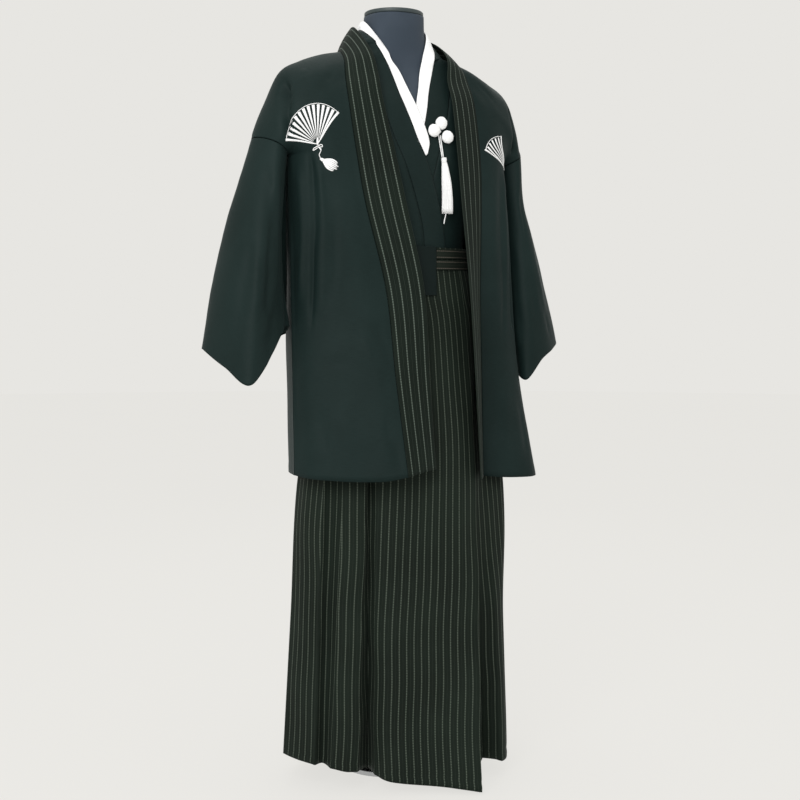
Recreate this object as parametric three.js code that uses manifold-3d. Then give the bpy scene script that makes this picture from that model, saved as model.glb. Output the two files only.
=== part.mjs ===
// A men's kimono set dressed on a limbless dress form: open haori jacket over a crossed kimono,
// with a pleated hakama tied at the waist. Millimetres, +Z up, -Y is the front, +X is the wearer's left.
// The origin is the centre of the stand's underside, on the floor.
import * as THREE from "three";
import Module from "manifold-3d";

const wasm = await Module();
wasm.setup();
const { Manifold, Mesh: SolidMesh } = wasm;

// ---------------------------------------------------------------- driving dimensions
const CLOTH = 1.6; // wall of a single cloth
const BAND = 2.2; // wall of a folded collar or tie
const SEAM = 0.5; // gap kept where two pieces are sewn together
const REST = 0.4; // gap kept where one piece rests on another
const FLOOR = -16; // the floor's height in the tables below

const ARMHOLE_GAP = 0.4;
const SLEEVE_ROOT_OUT = 7.2; // middle of the kimono sleeve's wall where it meets the body
const NESTED = 0.76; // size of the kimono sleeve inside the haori sleeve
const CUFF_SETBACK = 16;
const NECK_TOP = 1508; // top of the form's neck, below its cap
const CAP_THICK = 9;
const CAP_RADIUS = 59;
const TORSO_BOTTOM = 862;
const POLE_RADIUS = 15;
const BASE_RADIUS = 95;
const STAND_X = 15; // the pole stands behind the middle of the figure
const STAND_Y = 52;
const BASE_THICK = 12;
const HUB_HEIGHT = 40;

const UNDER_OUT = 3.5; // middle of the kimono's wall from the form
const UPPER_OUT = 7.4; // middle of the overlapping right front
const COLLAR_WIDTH = 48; // dark kimono collar
const KIMONO_TOP = 1424;
const KIMONO_BOTTOM = 936; // the kimono ends inside the hakama
const SETTLE = 0.7; // the haori's weight brings it down onto the kimono
const HAORI_TRIM = 1.3; // the panels stop short of their seam lines
const ARM_STEPS = 2; // cells between two rows of the haori

const WAIST_TOP = 1046; // top edge of the hakama
const WAIST_RINGS = [
  { z: WAIST_TOP, out: 0 }, // out is the distance from the waist's own ring
  { z: 1005, out: 0.3 },
  { z: 952, out: 3 },
  { z: 870, out: 12 },
];
const SKIRT_MID = 600; // level where the pleats have opened
const SKIRT_STEPS = [0, 0.5, 1, 1.5, 2, 2.33, 2.67, 3, 3.5, 4, 4.5, 5, 5.5, 6];
const HAKAMA_OUT = 10.2;
const TIE_OUT = 13.8;
const TIE_HEIGHT = 20;
const TIE_STEP = 22; // height from one turn of the waist tie to the next
const TAIL_OUT = 17;
const TAIL_WIDTH = 56; // hanging end of the sash
const TAIL_LENGTH = 96;

const BALL_RADIUS = 11.2; // the ornament's three soft balls
const BALL_FLAT = 0.6;
const BEAD_RADIUS = 3.2;
const CORD_RADIUS = 1.3;
const TASSEL_TOP = 1221;
const TASSEL_LENGTH = 108;
const TASSEL_HEAD = 5.4;
const TASSEL_SPREAD = 7.5;
const STRAND_WIDTH = 2.2;
const STRAND_RINGS = [
  { strands: 6, root: 2, end: 4.6 },
  { strands: 12, root: 3.6, end: 10.6 },
];

// ---------------------------------------------------------------- finishes
const finish = (color, roughness, metalness = 0) =>
  new THREE.MeshStandardMaterial({ color, roughness, metalness });
const FINISH = {
  black: finish(0x1d2423, 0.85),
  striped: finish(0x202420, 0.85),
  white: finish(0xf4f4f2, 0.8),
  form: finish(0x343b44, 0.9),
  cap: finish(0x1b2122, 0.7),
  metal: finish(0x9a9c9c, 0.35, 1),
};

const set = new THREE.Group();

// ---------------------------------------------------------------- small maths
const mix = (a, b, t) => a + (b - a) * t;
const smooth = (t) => t * t * (3 - 2 * t);
// A table's rows as plain lists, in the order of their columns.
const crossRows = (table) => table.map((row) => Object.values(row));
const clamp01 = (t) => Math.min(1, Math.max(0, t));
const radians = (degrees) => (degrees * Math.PI) / 180;
const vector = (p) => new THREE.Vector3(p[0], p[1], p[2]);

// A value read from a table by one column: the rows rise in that column.
function lookUp(table, key, at, column) {
  let i = 1;
  while (i < table.length - 1 && table[i][key] < at) i++;
  const low = table[i - 1];
  const high = table[i];
  const t = clamp01((at - low[key]) / (high[key] - low[key]));
  return mix(low[column], high[column], t);
}

// A smooth curve through points, at t from 0 to 1; it turns a corner at each index in breaks.
function through(points, t, breaks = []) {
  const last = points.length - 1;
  const at = clamp01(t) * last;
  const i = Math.min(last - 1, Math.floor(at));
  const f = at - i;
  const slope = (k, side) => {
    const corner = k === 0 || k === last || breaks.includes(k);
    const from = corner && side > 0 ? k : Math.max(0, k - 1);
    const to = corner && side < 0 ? k : Math.min(last, k + 1);
    return points[to].map((v, c) => (v - points[from][c]) / (to - from));
  };
  const m0 = slope(i, 1);
  const m1 = slope(i + 1, -1);
  const f2 = f * f;
  const f3 = f2 * f;
  return points[i].map(
    (v, c) =>
      (2 * f3 - 3 * f2 + 1) * v +
      (f3 - 2 * f2 + f) * m0[c] +
      (3 * f2 - 2 * f3) * points[i + 1][c] +
      (f3 - f2) * m1[c],
  );
}

// ---------------------------------------------------------------- closed walls and solids
function meshFrom(name, positions, triangles, material) {
  const geometry = new THREE.BufferGeometry();
  geometry.setAttribute("position", new THREE.Float32BufferAttribute(positions.flat(), 3));
  geometry.setIndex(triangles.flat());
  geometry.computeVertexNormals();
  const mesh = new THREE.Mesh(geometry, material);
  mesh.name = name;
  set.add(mesh);
  return mesh;
}

// A wall of the given thickness on a grid of points: pointAt(u, v) for u, v from 0 to 1, with cu x cv cells.
// Its outer face is on the side of dP/du x dP/dv; inner and outer are the distances of the two faces from it.
function wallParts({ pointAt, cu, cv, thickness, ring = false, us = null, vs = null }) {
  const nu = ring ? cu : cu + 1;
  const at = (list, k, n) => (list ? list[k] : k / n);
  const grid = [];
  for (let j = 0; j <= cv; j++)
    for (let i = 0; i < nu; i++) grid.push(vector(pointAt(at(us, i, cu), at(vs, j, cv))));
  const point = (i, j) => {
    const k = ring ? (i + nu) % nu : Math.min(nu - 1, Math.max(0, i));
    return grid[Math.min(cv, Math.max(0, j)) * nu + k];
  };
  const positions = [[], []];
  for (let j = 0; j <= cv; j++)
    for (let i = 0; i < nu; i++) {
      const across = point(i + 1, j).clone().sub(point(i - 1, j));
      const along = point(i, j + 1).clone().sub(point(i, j - 1));
      const normal = across.cross(along).normalize();
      const p = point(i, j);
      positions[0].push(p.clone().addScaledVector(normal, thickness / 2).toArray());
      positions[1].push(p.clone().addScaledVector(normal, -thickness / 2).toArray());
    }
  const count = grid.length;
  const triangles = [];
  const quad = (a, b, c, d) => triangles.push([a, b, c], [a, c, d]);
  for (let j = 0; j < cv; j++)
    for (let i = 0; i < (ring ? nu : nu - 1); i++) {
      const a = j * nu + i;
      const b = j * nu + ((i + 1) % nu);
      const c = b + nu;
      const d = a + nu;
      quad(a, b, c, d);
      quad(count + a, count + d, count + c, count + b);
    }
  for (let i = 0; i < (ring ? nu : nu - 1); i++) {
    const b = (i + 1) % nu;
    const top = cv * nu;
    quad(count + i, count + b, b, i);
    quad(top + i, top + b, count + top + b, count + top + i);
  }
  if (!ring)
    for (let j = 0; j < cv; j++) {
      const a = j * nu;
      const d = a + nu;
      quad(a, d, count + d, count + a);
      quad(count + a + nu - 1, count + d + nu - 1, d + nu - 1, a + nu - 1);
    }
  return { positions: [...positions[0], ...positions[1]], triangles };
}

function wall(name, material, options) {
  const { positions, triangles } = wallParts(options);
  return meshFrom(name, positions, triangles, material);
}

// A solid lofted through closed rings of points, with flat ends.
function loftParts(rings) {
  const n = rings[0].length;
  const positions = rings.flat();
  const triangles = [];
  for (let j = 0; j < rings.length - 1; j++)
    for (let i = 0; i < n; i++) {
      const a = j * n + i;
      const b = j * n + ((i + 1) % n);
      triangles.push([a, b, b + n], [a, b + n, a + n]);
    }
  const centre = (ring) => ring[0].map((_, c) => ring.reduce((s, p) => s + p[c], 0) / n);
  const low = positions.push(centre(rings[0])) - 1;
  const high = positions.push(centre(rings.at(-1))) - 1;
  const top = (rings.length - 1) * n;
  for (let i = 0; i < n; i++) {
    triangles.push([low, (i + 1) % n, i]);
    triangles.push([high, top + i, top + ((i + 1) % n)]);
  }
  return { positions, triangles };
}

function loft(name, material, rings) {
  const { positions, triangles } = loftParts(rings);
  return meshFrom(name, positions, triangles, material);
}

// ---------------------------------------------------------------- the figure
// Horizontal sections of the form: half width, half depth and the section's centre in Y.
const FIGURE = [
  { z: 862, half: 132, depth: 90, centre: 0 },
  { z: 900, half: 146, depth: 98, centre: 0 },
  { z: 960, half: 150, depth: 101, centre: 0 },
  { z: 1040, half: 143, depth: 98, centre: -2 },
  { z: 1120, half: 156, depth: 103, centre: -3 },
  { z: 1200, half: 178, depth: 108, centre: -3 },
  { z: 1260, half: 196, depth: 107, centre: -1 },
  { z: 1315, half: 214, depth: 99, centre: 1 },
  { z: 1350, half: 226, depth: 88, centre: 4 },
  { z: 1372, half: 222, depth: 80, centre: 5 },
  { z: 1388, half: 206, depth: 75, centre: 6 },
  { z: 1401, half: 178, depth: 71, centre: 6 },
  { z: 1413, half: 142, depth: 68, centre: 5 },
  { z: 1425, half: 110, depth: 65, centre: 4 },
  { z: 1438, half: 84, depth: 62, centre: 2 },
  { z: 1454, half: 67, depth: 60, centre: 0 },
  { z: 1475, half: 60, depth: 58.5, centre: -1 },
  { z: 1508, half: 58, depth: 57, centre: -3 },
];
const ROUND = 2.3; // roundness of the sections: 2 is an ellipse

// The figure's surface at height z and turn (0 front, 90 wearer's left, 180 back).
function figureSkin(turn, z) {
  const half = lookUp(FIGURE, "z", z, "half");
  const depth = lookUp(FIGURE, "z", z, "depth");
  const centre = lookUp(FIGURE, "z", z, "centre");
  const s = Math.sin(radians(turn));
  const c = Math.cos(radians(turn));
  const power = 2 / ROUND;
  return [
    half * Math.sign(s) * Math.abs(s) ** power,
    centre - depth * Math.sign(c) * Math.abs(c) ** power,
    z,
  ];
}

// A point out from the figure's surface by a distance.
function figurePoint(turn, z, out) {
  const around = vector(figureSkin(turn + 3, z)).sub(vector(figureSkin(turn - 3, z)));
  const up = vector(figureSkin(turn, z + 9)).sub(vector(figureSkin(turn, z - 9)));
  const normal = around.cross(up).normalize();
  return vector(figureSkin(turn, z)).addScaledVector(normal, out).toArray();
}

// The turn at which the front of the figure has a given x.
function turnAt(x, z) {
  const half = lookUp(FIGURE, "z", z, "half");
  const share = Math.min(1, Math.abs(x) / half);
  return (Math.sign(x) * Math.asin(share ** (ROUND / 2)) * 180) / Math.PI;
}

const frontPoint = (x, z, out) => figurePoint(turnAt(x, z), z, out);

function buildForm() {
  const around = 32;
  const rings = FIGURE.map((row) =>
    Array.from({ length: around }, (_, i) => figureSkin((i * 360) / around, row.z)),
  );
  loft("form_torso", FINISH.form, rings);

  const cap = new THREE.Mesh(
    new THREE.CylinderGeometry(CAP_RADIUS, CAP_RADIUS - 1, CAP_THICK, 40),
    FINISH.cap,
  );
  cap.name = "form_neck_cap";
  cap.rotation.x = Math.PI / 2;
  cap.position.set(0, -3, NECK_TOP + REST + CAP_THICK / 2);
  set.add(cap);

  const hubTop = FLOOR + BASE_THICK + HUB_HEIGHT;
  const poleBottom = hubTop + REST;
  const poleTop = TORSO_BOTTOM - REST;
  const pole = new THREE.Mesh(
    new THREE.CylinderGeometry(POLE_RADIUS, POLE_RADIUS, poleTop - poleBottom, 24),
    FINISH.metal,
  );
  pole.name = "stand_pole";
  pole.rotation.x = Math.PI / 2;
  pole.position.set(STAND_X, STAND_Y, (poleTop + poleBottom) / 2);
  set.add(pole);

  const hub = POLE_RADIUS + 9;
  const outline = [
    [0, 0],
    [BASE_RADIUS - 2, 0],
    [BASE_RADIUS, 2],
    [BASE_RADIUS, BASE_THICK - 3],
    [BASE_RADIUS - 3, BASE_THICK],
    [hub, BASE_THICK],
    [hub - 3, BASE_THICK + HUB_HEIGHT],
    [0, BASE_THICK + HUB_HEIGHT],
  ];
  const points = outline.map(([x, y]) => new THREE.Vector2(x, y));
  const base = new THREE.Mesh(new THREE.LatheGeometry(points, 32), FINISH.metal);
  base.name = "stand_base";
  base.rotation.x = Math.PI / 2;
  base.position.set(STAND_X, STAND_Y, FLOOR);
  set.add(base);
}

// ---------------------------------------------------------------- the kimono
// The crossed front edges: x of the right (upper) and the left (lower) edge at each height.
const KIMONO_EDGE = [
  { z: 936, right: 60, left: -62 },
  { z: 1049, right: 57, left: -50 },
  { z: 1083, right: 52, left: -44 },
  { z: 1143, right: 33, left: -32 },
  { z: 1217, right: 5, left: -14 },
  { z: 1255, right: -13, left: -1 },
  { z: 1281, right: -22, left: 8.5 },
  { z: 1327, right: -39, left: 24 },
  { z: 1357, right: -45, left: 35.4 },
  { z: 1393, right: -52, left: 50 },
  { z: 1424, right: -62, left: 62 },
];
const EDGE_EASE = 14; // the edges bend over this height
const kimonoEdge = (z, side) => {
  const at = (height) => lookUp(KIMONO_EDGE, "z", height, side);
  return (at(z - EDGE_EASE) + 2 * at(z) + at(z + EDGE_EASE)) / 4;
};
// The right front climbs over the left one where they cross.
const upperOut = (x) => mix(UNDER_OUT, UPPER_OUT, smooth(clamp01((x + 118) / 50)));
const frontOut = (x, side) => (side === "right" ? upperOut(x) : UNDER_OUT);

// Heights of the kimono's rows: those of the figure, so that the cloth follows it.
const KIMONO_HEIGHTS = [
  KIMONO_BOTTOM,
  ...FIGURE.map((row) => row.z).filter((z) => z > KIMONO_BOTTOM && z < KIMONO_TOP),
  KIMONO_TOP,
];

function kimonoFront(name, side) {
  const sign = side === "right" ? -1 : 1;
  wall(name, FINISH.black, {
    cu: 7,
    cv: KIMONO_HEIGHTS.length - 1,
    vs: KIMONO_HEIGHTS,
    thickness: CLOTH,
    pointAt: (u, z) => {
      const edge = kimonoEdge(z, side) + sign * (COLLAR_WIDTH + 2 * SEAM);
      const low = turnAt(edge, z);
      const turn = sign < 0 ? mix(-89.8, low, u) : mix(low, 89.8, u);
      const x = figureSkin(turn, z)[0];
      return figurePoint(turn, z, frontOut(x, side));
    },
  });
}

// A row across a collar: its inner edge, its outer edge and how far it lies on the chest: 1 on it, 0 free.
function collarRow(inner, outer, seat = 0) {
  return { inner, outer, seat };
}

// Collars run from their right end round the neck to their left end. seated(point, u, side) gives the place
// on the chest for a point of the row, with u from 0 at the outer edge to 1 at the inner edge.
function collarWall(name, material, rows, { steps, across, seated, bulge = 0 }) {
  const inner = rows.map((row) => row.inner);
  const outer = rows.map((row) => row.outer);
  const seats = rows.map((row, i) => ({ i, seat: row.seat }));
  wall(name, material, {
    cu: across,
    cv: (rows.length - 1) * steps,
    thickness: BAND,
    pointAt: (u, v) => {
      const a = through(outer, v);
      const b = through(inner, v);
      const seat = lookUp(seats, "i", v * (rows.length - 1), "seat");
      const [x, y, z] = a.map((value, c) => mix(value, b[c], u));
      const swell = bulge * (1 - seat) * Math.sin(Math.PI * u);
      const reach = Math.max(40, Math.hypot(x, y));
      const free = [x * (1 + (0.6 * swell) / reach), y * (1 + (0.6 * swell) / reach), z + 0.8 * swell];
      if (seat === 0) return free;
      const low = seated(free, u, v < 0.5 ? "right" : "left");
      return free.map((value, c) => mix(value, low[c], seat));
    },
  });
}

// The dark collar: down the chest it borders the crossed edges, round the neck it stands up.
function chestCollar(z, u, side) {
  const sign = side === "right" ? -1 : 1;
  const x = kimonoEdge(z, side) + sign * COLLAR_WIDTH * (1 - u);
  const lift = clamp01((z - 1400) / 17); // it starts to stand up at the neck
  return frontPoint(x, z, frontOut(x, side) + lift);
}

const CHEST_HEIGHTS = [
  936, 960, 1004, 1049, 1083, 1143, 1180, 1217, 1255, 1281, 1315, 1350, 1372, 1393, 1406, 1417,
];

// Where the dark and the white collar meet round the neck, from front right to front left, and the turn
// at which the dark collar's lower edge lies below that place.
const NECK_LINE = crossRows([
  { x: -72, y: -53, z: 1446, turn: -76 },
  { x: -76.5, y: -28, z: 1464, turn: -84 },
  { x: -76.5, y: 0, z: 1475, turn: -96 },
  { x: -56, y: 47, z: 1478, turn: -138 },
  { x: 0, y: 69, z: 1480, turn: -180 },
  { x: 56, y: 47, z: 1477, turn: -222 },
  { x: 77, y: 0, z: 1469, turn: -262 },
  { x: 73, y: -36, z: 1444, turn: -275 },
  { x: 58, y: -67.8, z: 1420, turn: -285 },
]);

function kimonoCollarRows() {
  const chest = (z, side) => collarRow(chestCollar(z, 1, side), chestCollar(z, 0, side), 1);
  const neck = stepsOf(1, 14).map((t) => {
    const [x, y, z, turn] = through(NECK_LINE, t);
    return collarRow([x, y, z], figurePoint(turn, KIMONO_TOP + 2 * SEAM, UNDER_OUT + 1.5));
  });
  return [
    ...CHEST_HEIGHTS.map((z) => chest(z, "right")),
    ...neck,
    ...CHEST_HEIGHTS.toReversed().map((z) => chest(z, "left")),
  ];
}

// The white collar shows above the dark one; its right end lies on top of its left end.
const WHITE_CHEST_RIGHT = [
  { outX: 5.5, outZ: 1222, inX: 9.5, inZ: 1226 },
  { outX: -11, outZ: 1255, inX: 14, inZ: 1250 },
  { outX: -21, outZ: 1281, inX: 4, inZ: 1283 },
  { outX: -36.5, outZ: 1327, inX: -9, inZ: 1318 },
  { outX: -43, outZ: 1360, inX: -20, inZ: 1352 },
  { outX: -50, outZ: 1393, inX: -30, inZ: 1384 },
  { outX: -57.5, outZ: 1415, inX: -42, inZ: 1406 },
];
const WHITE_NECK = [
  { inner: [-48, -62, 1428], outer: [-69.5, -54.5, 1446.5] },
  { inner: [-60, -30, 1468], outer: [-75.5, -28, 1465.5] },
  { inner: [-66, 0, 1494], outer: [-75, 0, 1476.5] },
  { inner: [-49, 44, 1496], outer: [-54.5, 46, 1479] },
  { inner: [0, 62, 1497], outer: [0, 67.5, 1481] },
  { inner: [49, 44, 1495], outer: [54.5, 46, 1478.5] },
  { inner: [64, 0, 1490], outer: [75.5, 0, 1470.5] },
  { inner: [50.5, -45.5, 1466], outer: [71, -37, 1445.5] },
  { inner: [28, -67, 1418], outer: [56, -67, 1421] },
];
const WHITE_CHEST_LEFT = [
  { outX: 48, outZ: 1390, inX: 18, inZ: 1384 },
  { outX: 34, outZ: 1357, inX: 8, inZ: 1352 },
  { outX: 22.5, outZ: 1327, inX: -4, inZ: 1322 },
  { outX: 7, outZ: 1281, inX: -18, inZ: 1278 },
  { outX: -6, outZ: 1246, inX: -28, inZ: 1244 },
];

function whiteCollarRows() {
  const chest = ({ outX, outZ, inX, inZ }) =>
    collarRow(frontPoint(inX, inZ, UPPER_OUT), frontPoint(outX, outZ, UPPER_OUT), 1);
  return [
    ...WHITE_CHEST_RIGHT.map(chest),
    ...WHITE_NECK.map(({ inner, outer }) => collarRow(inner, outer)),
    ...WHITE_CHEST_LEFT.map(chest),
  ];
}

function buildKimono() {
  kimonoFront("kimono_front_right", "right");
  kimonoFront("kimono_front_left", "left");
  wall("kimono_back", FINISH.black, {
    cu: 14,
    cv: KIMONO_HEIGHTS.length - 1,
    vs: KIMONO_HEIGHTS,
    thickness: CLOTH,
    pointAt: (u, z) => figurePoint(mix(90.2, 269.8, u), z, UNDER_OUT),
  });
  collarWall("kimono_collar", FINISH.black, kimonoCollarRows(), {
    steps: 1,
    across: 3,
    bulge: 4,
    seated: (point, u, side) => chestCollar(point[2], u, side),
  });
  collarWall("white_collar", FINISH.white, whiteCollarRows(), {
    steps: 2,
    across: 2,
    seated: ([x, , z], u, side) => frontPoint(x, z, side === "right" ? UPPER_OUT : UNDER_OUT),
  });
}

// ---------------------------------------------------------------- the haori
// One body panel a side, cut in one length over the shoulder. Rows run from the front hem to the back hem,
// each from the collar or centre back to the side seam or armhole.
const HAORI_RIGHT = crossRows([
  {
    edge: [-71, -184, 608], inner: [-115, -168, 601], chest: [-160, -138, 600],
    outer: [-198, -112, 602], side: [-226, -82, 604], seam: [-240, -45, 608],
  },
  {
    edge: [-79, -150, 790], inner: [-118, -142, 790], chest: [-158, -124, 790],
    outer: [-196, -98, 790], side: [-226, -68, 790], seam: [-240, -36, 790],
  },
  {
    edge: [-81, -115, 962], inner: [-120, -112, 962], chest: [-158, -102, 962],
    outer: [-196, -84, 962], side: [-226, -56, 962], seam: [-240, -26, 962],
  },
  {
    edge: [-119, -103, 1127], inner: [-146, -100, 1127], chest: [-176, -90, 1127],
    outer: [-205, -74, 1127], side: [-228, -50, 1127], seam: [-240, -20, 1127],
  },
  {
    edge: [-136, -98, 1225], inner: [-160, -95, 1225], chest: [-186, -88, 1224],
    outer: [-211, -72, 1223], side: [-230, -48, 1222], seam: [-240, -16, 1221],
  },
  {
    edge: [-152, -95, 1328], inner: [-172, -92, 1316], chest: [-198, -86, 1300],
    outer: [-224, -76, 1278], side: [-242, -60, 1252], seam: [-255, -36, 1227],
  },
  {
    edge: [-150, -80, 1368], inner: [-174, -80, 1354], chest: [-204, -78, 1334],
    outer: [-238, -72, 1302], side: [-262, -60, 1268], seam: [-276, -45, 1239],
  },
  {
    edge: [-138, -52, 1406], inner: [-166, -52, 1396], chest: [-206, -55, 1376],
    outer: [-244, -49, 1345], side: [-273, -37, 1296], seam: [-293, -22, 1249],
  },
  {
    edge: [-120, 0, 1430], inner: [-162, 2, 1421], chest: [-208, 4, 1404],
    outer: [-248, 5, 1379], side: [-275, 6, 1318], seam: [-302, 8, 1252],
  },
  {
    edge: [-87, 69, 1429], inner: [-130, 68, 1412], chest: [-182, 66, 1388],
    outer: [-232, 56, 1350], side: [-270, 44, 1300], seam: [-294, 34, 1250],
  },
  {
    edge: [-0.25, 98, 1417], inner: [-78, 102, 1396], chest: [-145, 99, 1366],
    outer: [-203, 90, 1325], side: [-245, 74, 1275], seam: [-272, 52, 1239],
  },
  {
    edge: [-0.25, 112, 1350], inner: [-64, 114, 1340], chest: [-124, 110, 1320],
    outer: [-180, 98, 1294], side: [-224, 68, 1262], seam: [-252, 22, 1227],
  },
  {
    edge: [-0.25, 122, 1240], inner: [-60, 123, 1238], chest: [-118, 117, 1235],
    outer: [-175, 98, 1230], side: [-219, 60, 1225], seam: [-240, -12, 1221],
  },
  {
    edge: [-0.25, 126, 1127], inner: [-60, 127, 1127], chest: [-118, 120, 1127],
    outer: [-175, 100, 1127], side: [-216, 56, 1127], seam: [-240, -16, 1127],
  },
  {
    edge: [-0.25, 130, 962], inner: [-60, 131, 962], chest: [-120, 124, 962],
    outer: [-176, 104, 962], side: [-214, 54, 962], seam: [-240, -22, 962],
  },
  {
    edge: [-0.25, 140, 790], inner: [-62, 141, 790], chest: [-122, 132, 790],
    outer: [-172, 106, 790], side: [-213, 50, 790], seam: [-242, -32, 790],
  },
  {
    edge: [-0.25, 150, 602], inner: [-64, 151, 602], chest: [-124, 140, 602],
    outer: [-172, 110, 603], side: [-213, 40, 606], seam: [-244, -41, 608],
  },
]);
const HAORI_LEFT = crossRows([
  {
    edge: [152, -98, 590], inner: [190, -111, 586], chest: [230, -115, 584],
    outer: [268, -108, 583], side: [290, -84, 585], seam: [293, -42, 590],
  },
  {
    edge: [152, -92, 790], inner: [184, -100, 790], chest: [216, -98, 790],
    outer: [246, -85, 790], side: [264, -60, 790], seam: [267, -28, 790],
  },
  {
    edge: [150, -90, 962], inner: [178, -96, 962], chest: [208, -92, 962],
    outer: [236, -76, 962], side: [253, -50, 962], seam: [254, -20, 962],
  },
  {
    edge: [148, -97, 1127], inner: [174, -98, 1127], chest: [202, -91, 1127],
    outer: [227, -75, 1127], side: [242, -48, 1127], seam: [244, -18, 1127],
  },
  {
    edge: [146, -96, 1225], inner: [170, -96, 1225], chest: [196, -89, 1224],
    outer: [218, -73, 1223], side: [234, -48, 1222], seam: [241, -14, 1221],
  },
  {
    edge: [138, -88, 1328], inner: [164, -89, 1316], chest: [194, -85, 1300],
    outer: [222, -75, 1278], side: [242, -58, 1252], seam: [254, -36, 1227],
  },
  {
    edge: [132, -74, 1375], inner: [160, -76, 1358], chest: [196, -77, 1336],
    outer: [236, -70, 1304], side: [262, -56, 1270], seam: [274, -47, 1239],
  },
  {
    edge: [127, -50, 1413], inner: [160, -56, 1398], chest: [204, -52, 1375],
    outer: [247, -46, 1346], side: [276, -34, 1298], seam: [292, -28, 1249],
  },
  {
    edge: [122, 0, 1430], inner: [163, 2, 1414], chest: [210, 4, 1398],
    outer: [252, 5, 1377], side: [282, 2, 1330], seam: [300, -4, 1252],
  },
  {
    edge: [87, 69, 1429], inner: [130, 68, 1412], chest: [182, 66, 1388],
    outer: [232, 56, 1350], side: [272, 42, 1300], seam: [293, 26, 1250],
  },
  {
    edge: [0.25, 98, 1417], inner: [78, 102, 1396], chest: [145, 99, 1366],
    outer: [203, 90, 1325], side: [246, 73, 1275], seam: [270, 50, 1239],
  },
  {
    edge: [0.25, 112, 1350], inner: [64, 114, 1340], chest: [124, 110, 1320],
    outer: [180, 98, 1294], side: [225, 68, 1262], seam: [251, 22, 1227],
  },
  {
    edge: [0.25, 122, 1240], inner: [60, 123, 1238], chest: [118, 117, 1235],
    outer: [176, 98, 1230], side: [222, 60, 1225], seam: [241, -10, 1221],
  },
  {
    edge: [0.25, 126, 1127], inner: [60, 127, 1127], chest: [118, 120, 1127],
    outer: [177, 100, 1127], side: [226, 58, 1127], seam: [244, -14, 1127],
  },
  {
    edge: [0.25, 130, 962], inner: [60, 131, 962], chest: [120, 124, 962],
    outer: [180, 104, 962], side: [234, 58, 962], seam: [254, -16, 962],
  },
  {
    edge: [0.25, 140, 790], inner: [62, 141, 790], chest: [124, 132, 790],
    outer: [186, 110, 790], side: [244, 60, 790], seam: [267, -24, 790],
  },
  {
    edge: [0.25, 150, 600], inner: [64, 151, 598], chest: [126, 140, 595],
    outer: [190, 116, 592], side: [256, 62, 590], seam: [294, -38, 590],
  },
]);
const RIDGE = 8; // the row along the shoulder
const UNDERARM = [4, 12]; // the rows that end at the underarm, front and back
const NECK_ROW = 10; // the row that starts at the centre back of the neck

// The collar's inner edge, beside the first point of each row of its side up to the centre back.
const COLLAR_RIGHT = crossRows([
  { x: 0, y: -165, z: 618 },
  { x: -6, y: -152, z: 790 },
  { x: -11, y: -140, z: 962 },
  { x: -45, y: -130, z: 1127 },
  { x: -64, y: -120, z: 1225 },
  { x: -86, y: -110, z: 1328 },
  { x: -88, y: -96, z: 1376 },
  { x: -88, y: -68, z: 1426 },
  { x: -86, y: 0, z: 1480 },
  { x: -65, y: 55, z: 1485 },
  { x: 0, y: 78, z: 1488 },
]);
const COLLAR_LEFT = crossRows([
  { x: 108, y: -160, z: 590 },
  { x: 100, y: -152, z: 790 },
  { x: 93, y: -142, z: 962 },
  { x: 82, y: -130, z: 1127 },
  { x: 78, y: -120, z: 1225 },
  { x: 72, y: -110, z: 1328 },
  { x: 73, y: -90, z: 1376 },
  { x: 84, y: -69, z: 1427 },
  { x: 93, y: 0, z: 1467 },
  { x: 65, y: 55, z: 1484 },
  { x: 0, y: 78, z: 1488 },
]);

// A smooth patch over rows of points; columns are read with u, rows with v.
function patch(rows, u, v, breaks = []) {
  return through(
    rows.map((row) => through(row, u)),
    v,
    breaks,
  );
}

// Even steps that fall on every row.
const stepsOf = (spans, each) =>
  Array.from({ length: spans * each + 1 }, (_, i) => i / (spans * each));

// The rows with their ends drawn back from the seams.
function trimmed(rows) {
  const toward = (from, to, distance) => {
    const step = vector(to).sub(vector(from));
    return vector(from).add(step.setLength(distance)).toArray();
  };
  return rows.map((row, i) => {
    const armhole = i >= UNDERARM[0] && i <= UNDERARM[1];
    const out = row.slice();
    if (i <= NECK_ROW) out[0] = toward(row[0], row[1], HAORI_TRIM);
    out[row.length - 1] = toward(row.at(-1), row.at(-2), armhole ? 0.3 : HAORI_TRIM);
    return out;
  });
}

// The collar's outer edge, from the right hem round the neck to the left hem.
const NECKLINE = [
  ...HAORI_RIGHT.slice(0, NECK_ROW).map((row) => row[0]),
  [0, 98, 1417],
  ...HAORI_LEFT.slice(0, NECK_ROW)
    .map((row) => row[0])
    .reverse(),
];

function haoriBody(name, table, side) {
  const rows = trimmed(table);
  const spans = rows.length - 1;
  const right = side === "right";
  const breaks = [UNDERARM[0], NECK_ROW, UNDERARM[1]];
  wall(name, FINISH.black, {
    cu: 10,
    cv: spans * ARM_STEPS,
    thickness: CLOTH,
    pointAt: (u, v) => {
      const across = right ? 1 - u : u;
      const point = patch(rows, across, v, breaks);
      const row = v * spans;
      if (row >= NECK_ROW) return point;
      // beside the collar the panel's edge keeps to the neckline
      const along = row / (2 * NECK_ROW);
      const line = vector(through(NECKLINE, right ? along : 1 - along));
      const edge = vector(patch(rows, 0, v, breaks));
      const inward = vector(patch(rows, 0.08, v, breaks)).sub(edge).setLength(HAORI_TRIM);
      const shift = line.add(inward).sub(edge).multiplyScalar((1 - across) ** 3);
      return vector(point).add(shift).toArray();
    },
  });
}

function haoriCollar() {
  const inner = [...COLLAR_RIGHT, ...COLLAR_LEFT.slice(0, NECK_ROW).reverse()];
  const rows = NECKLINE.map((outer, i) => collarRow(inner[i], outer));
  collarWall("haori_collar", FINISH.striped, rows, { steps: 2, across: 3, bulge: 2 });
}

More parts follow.
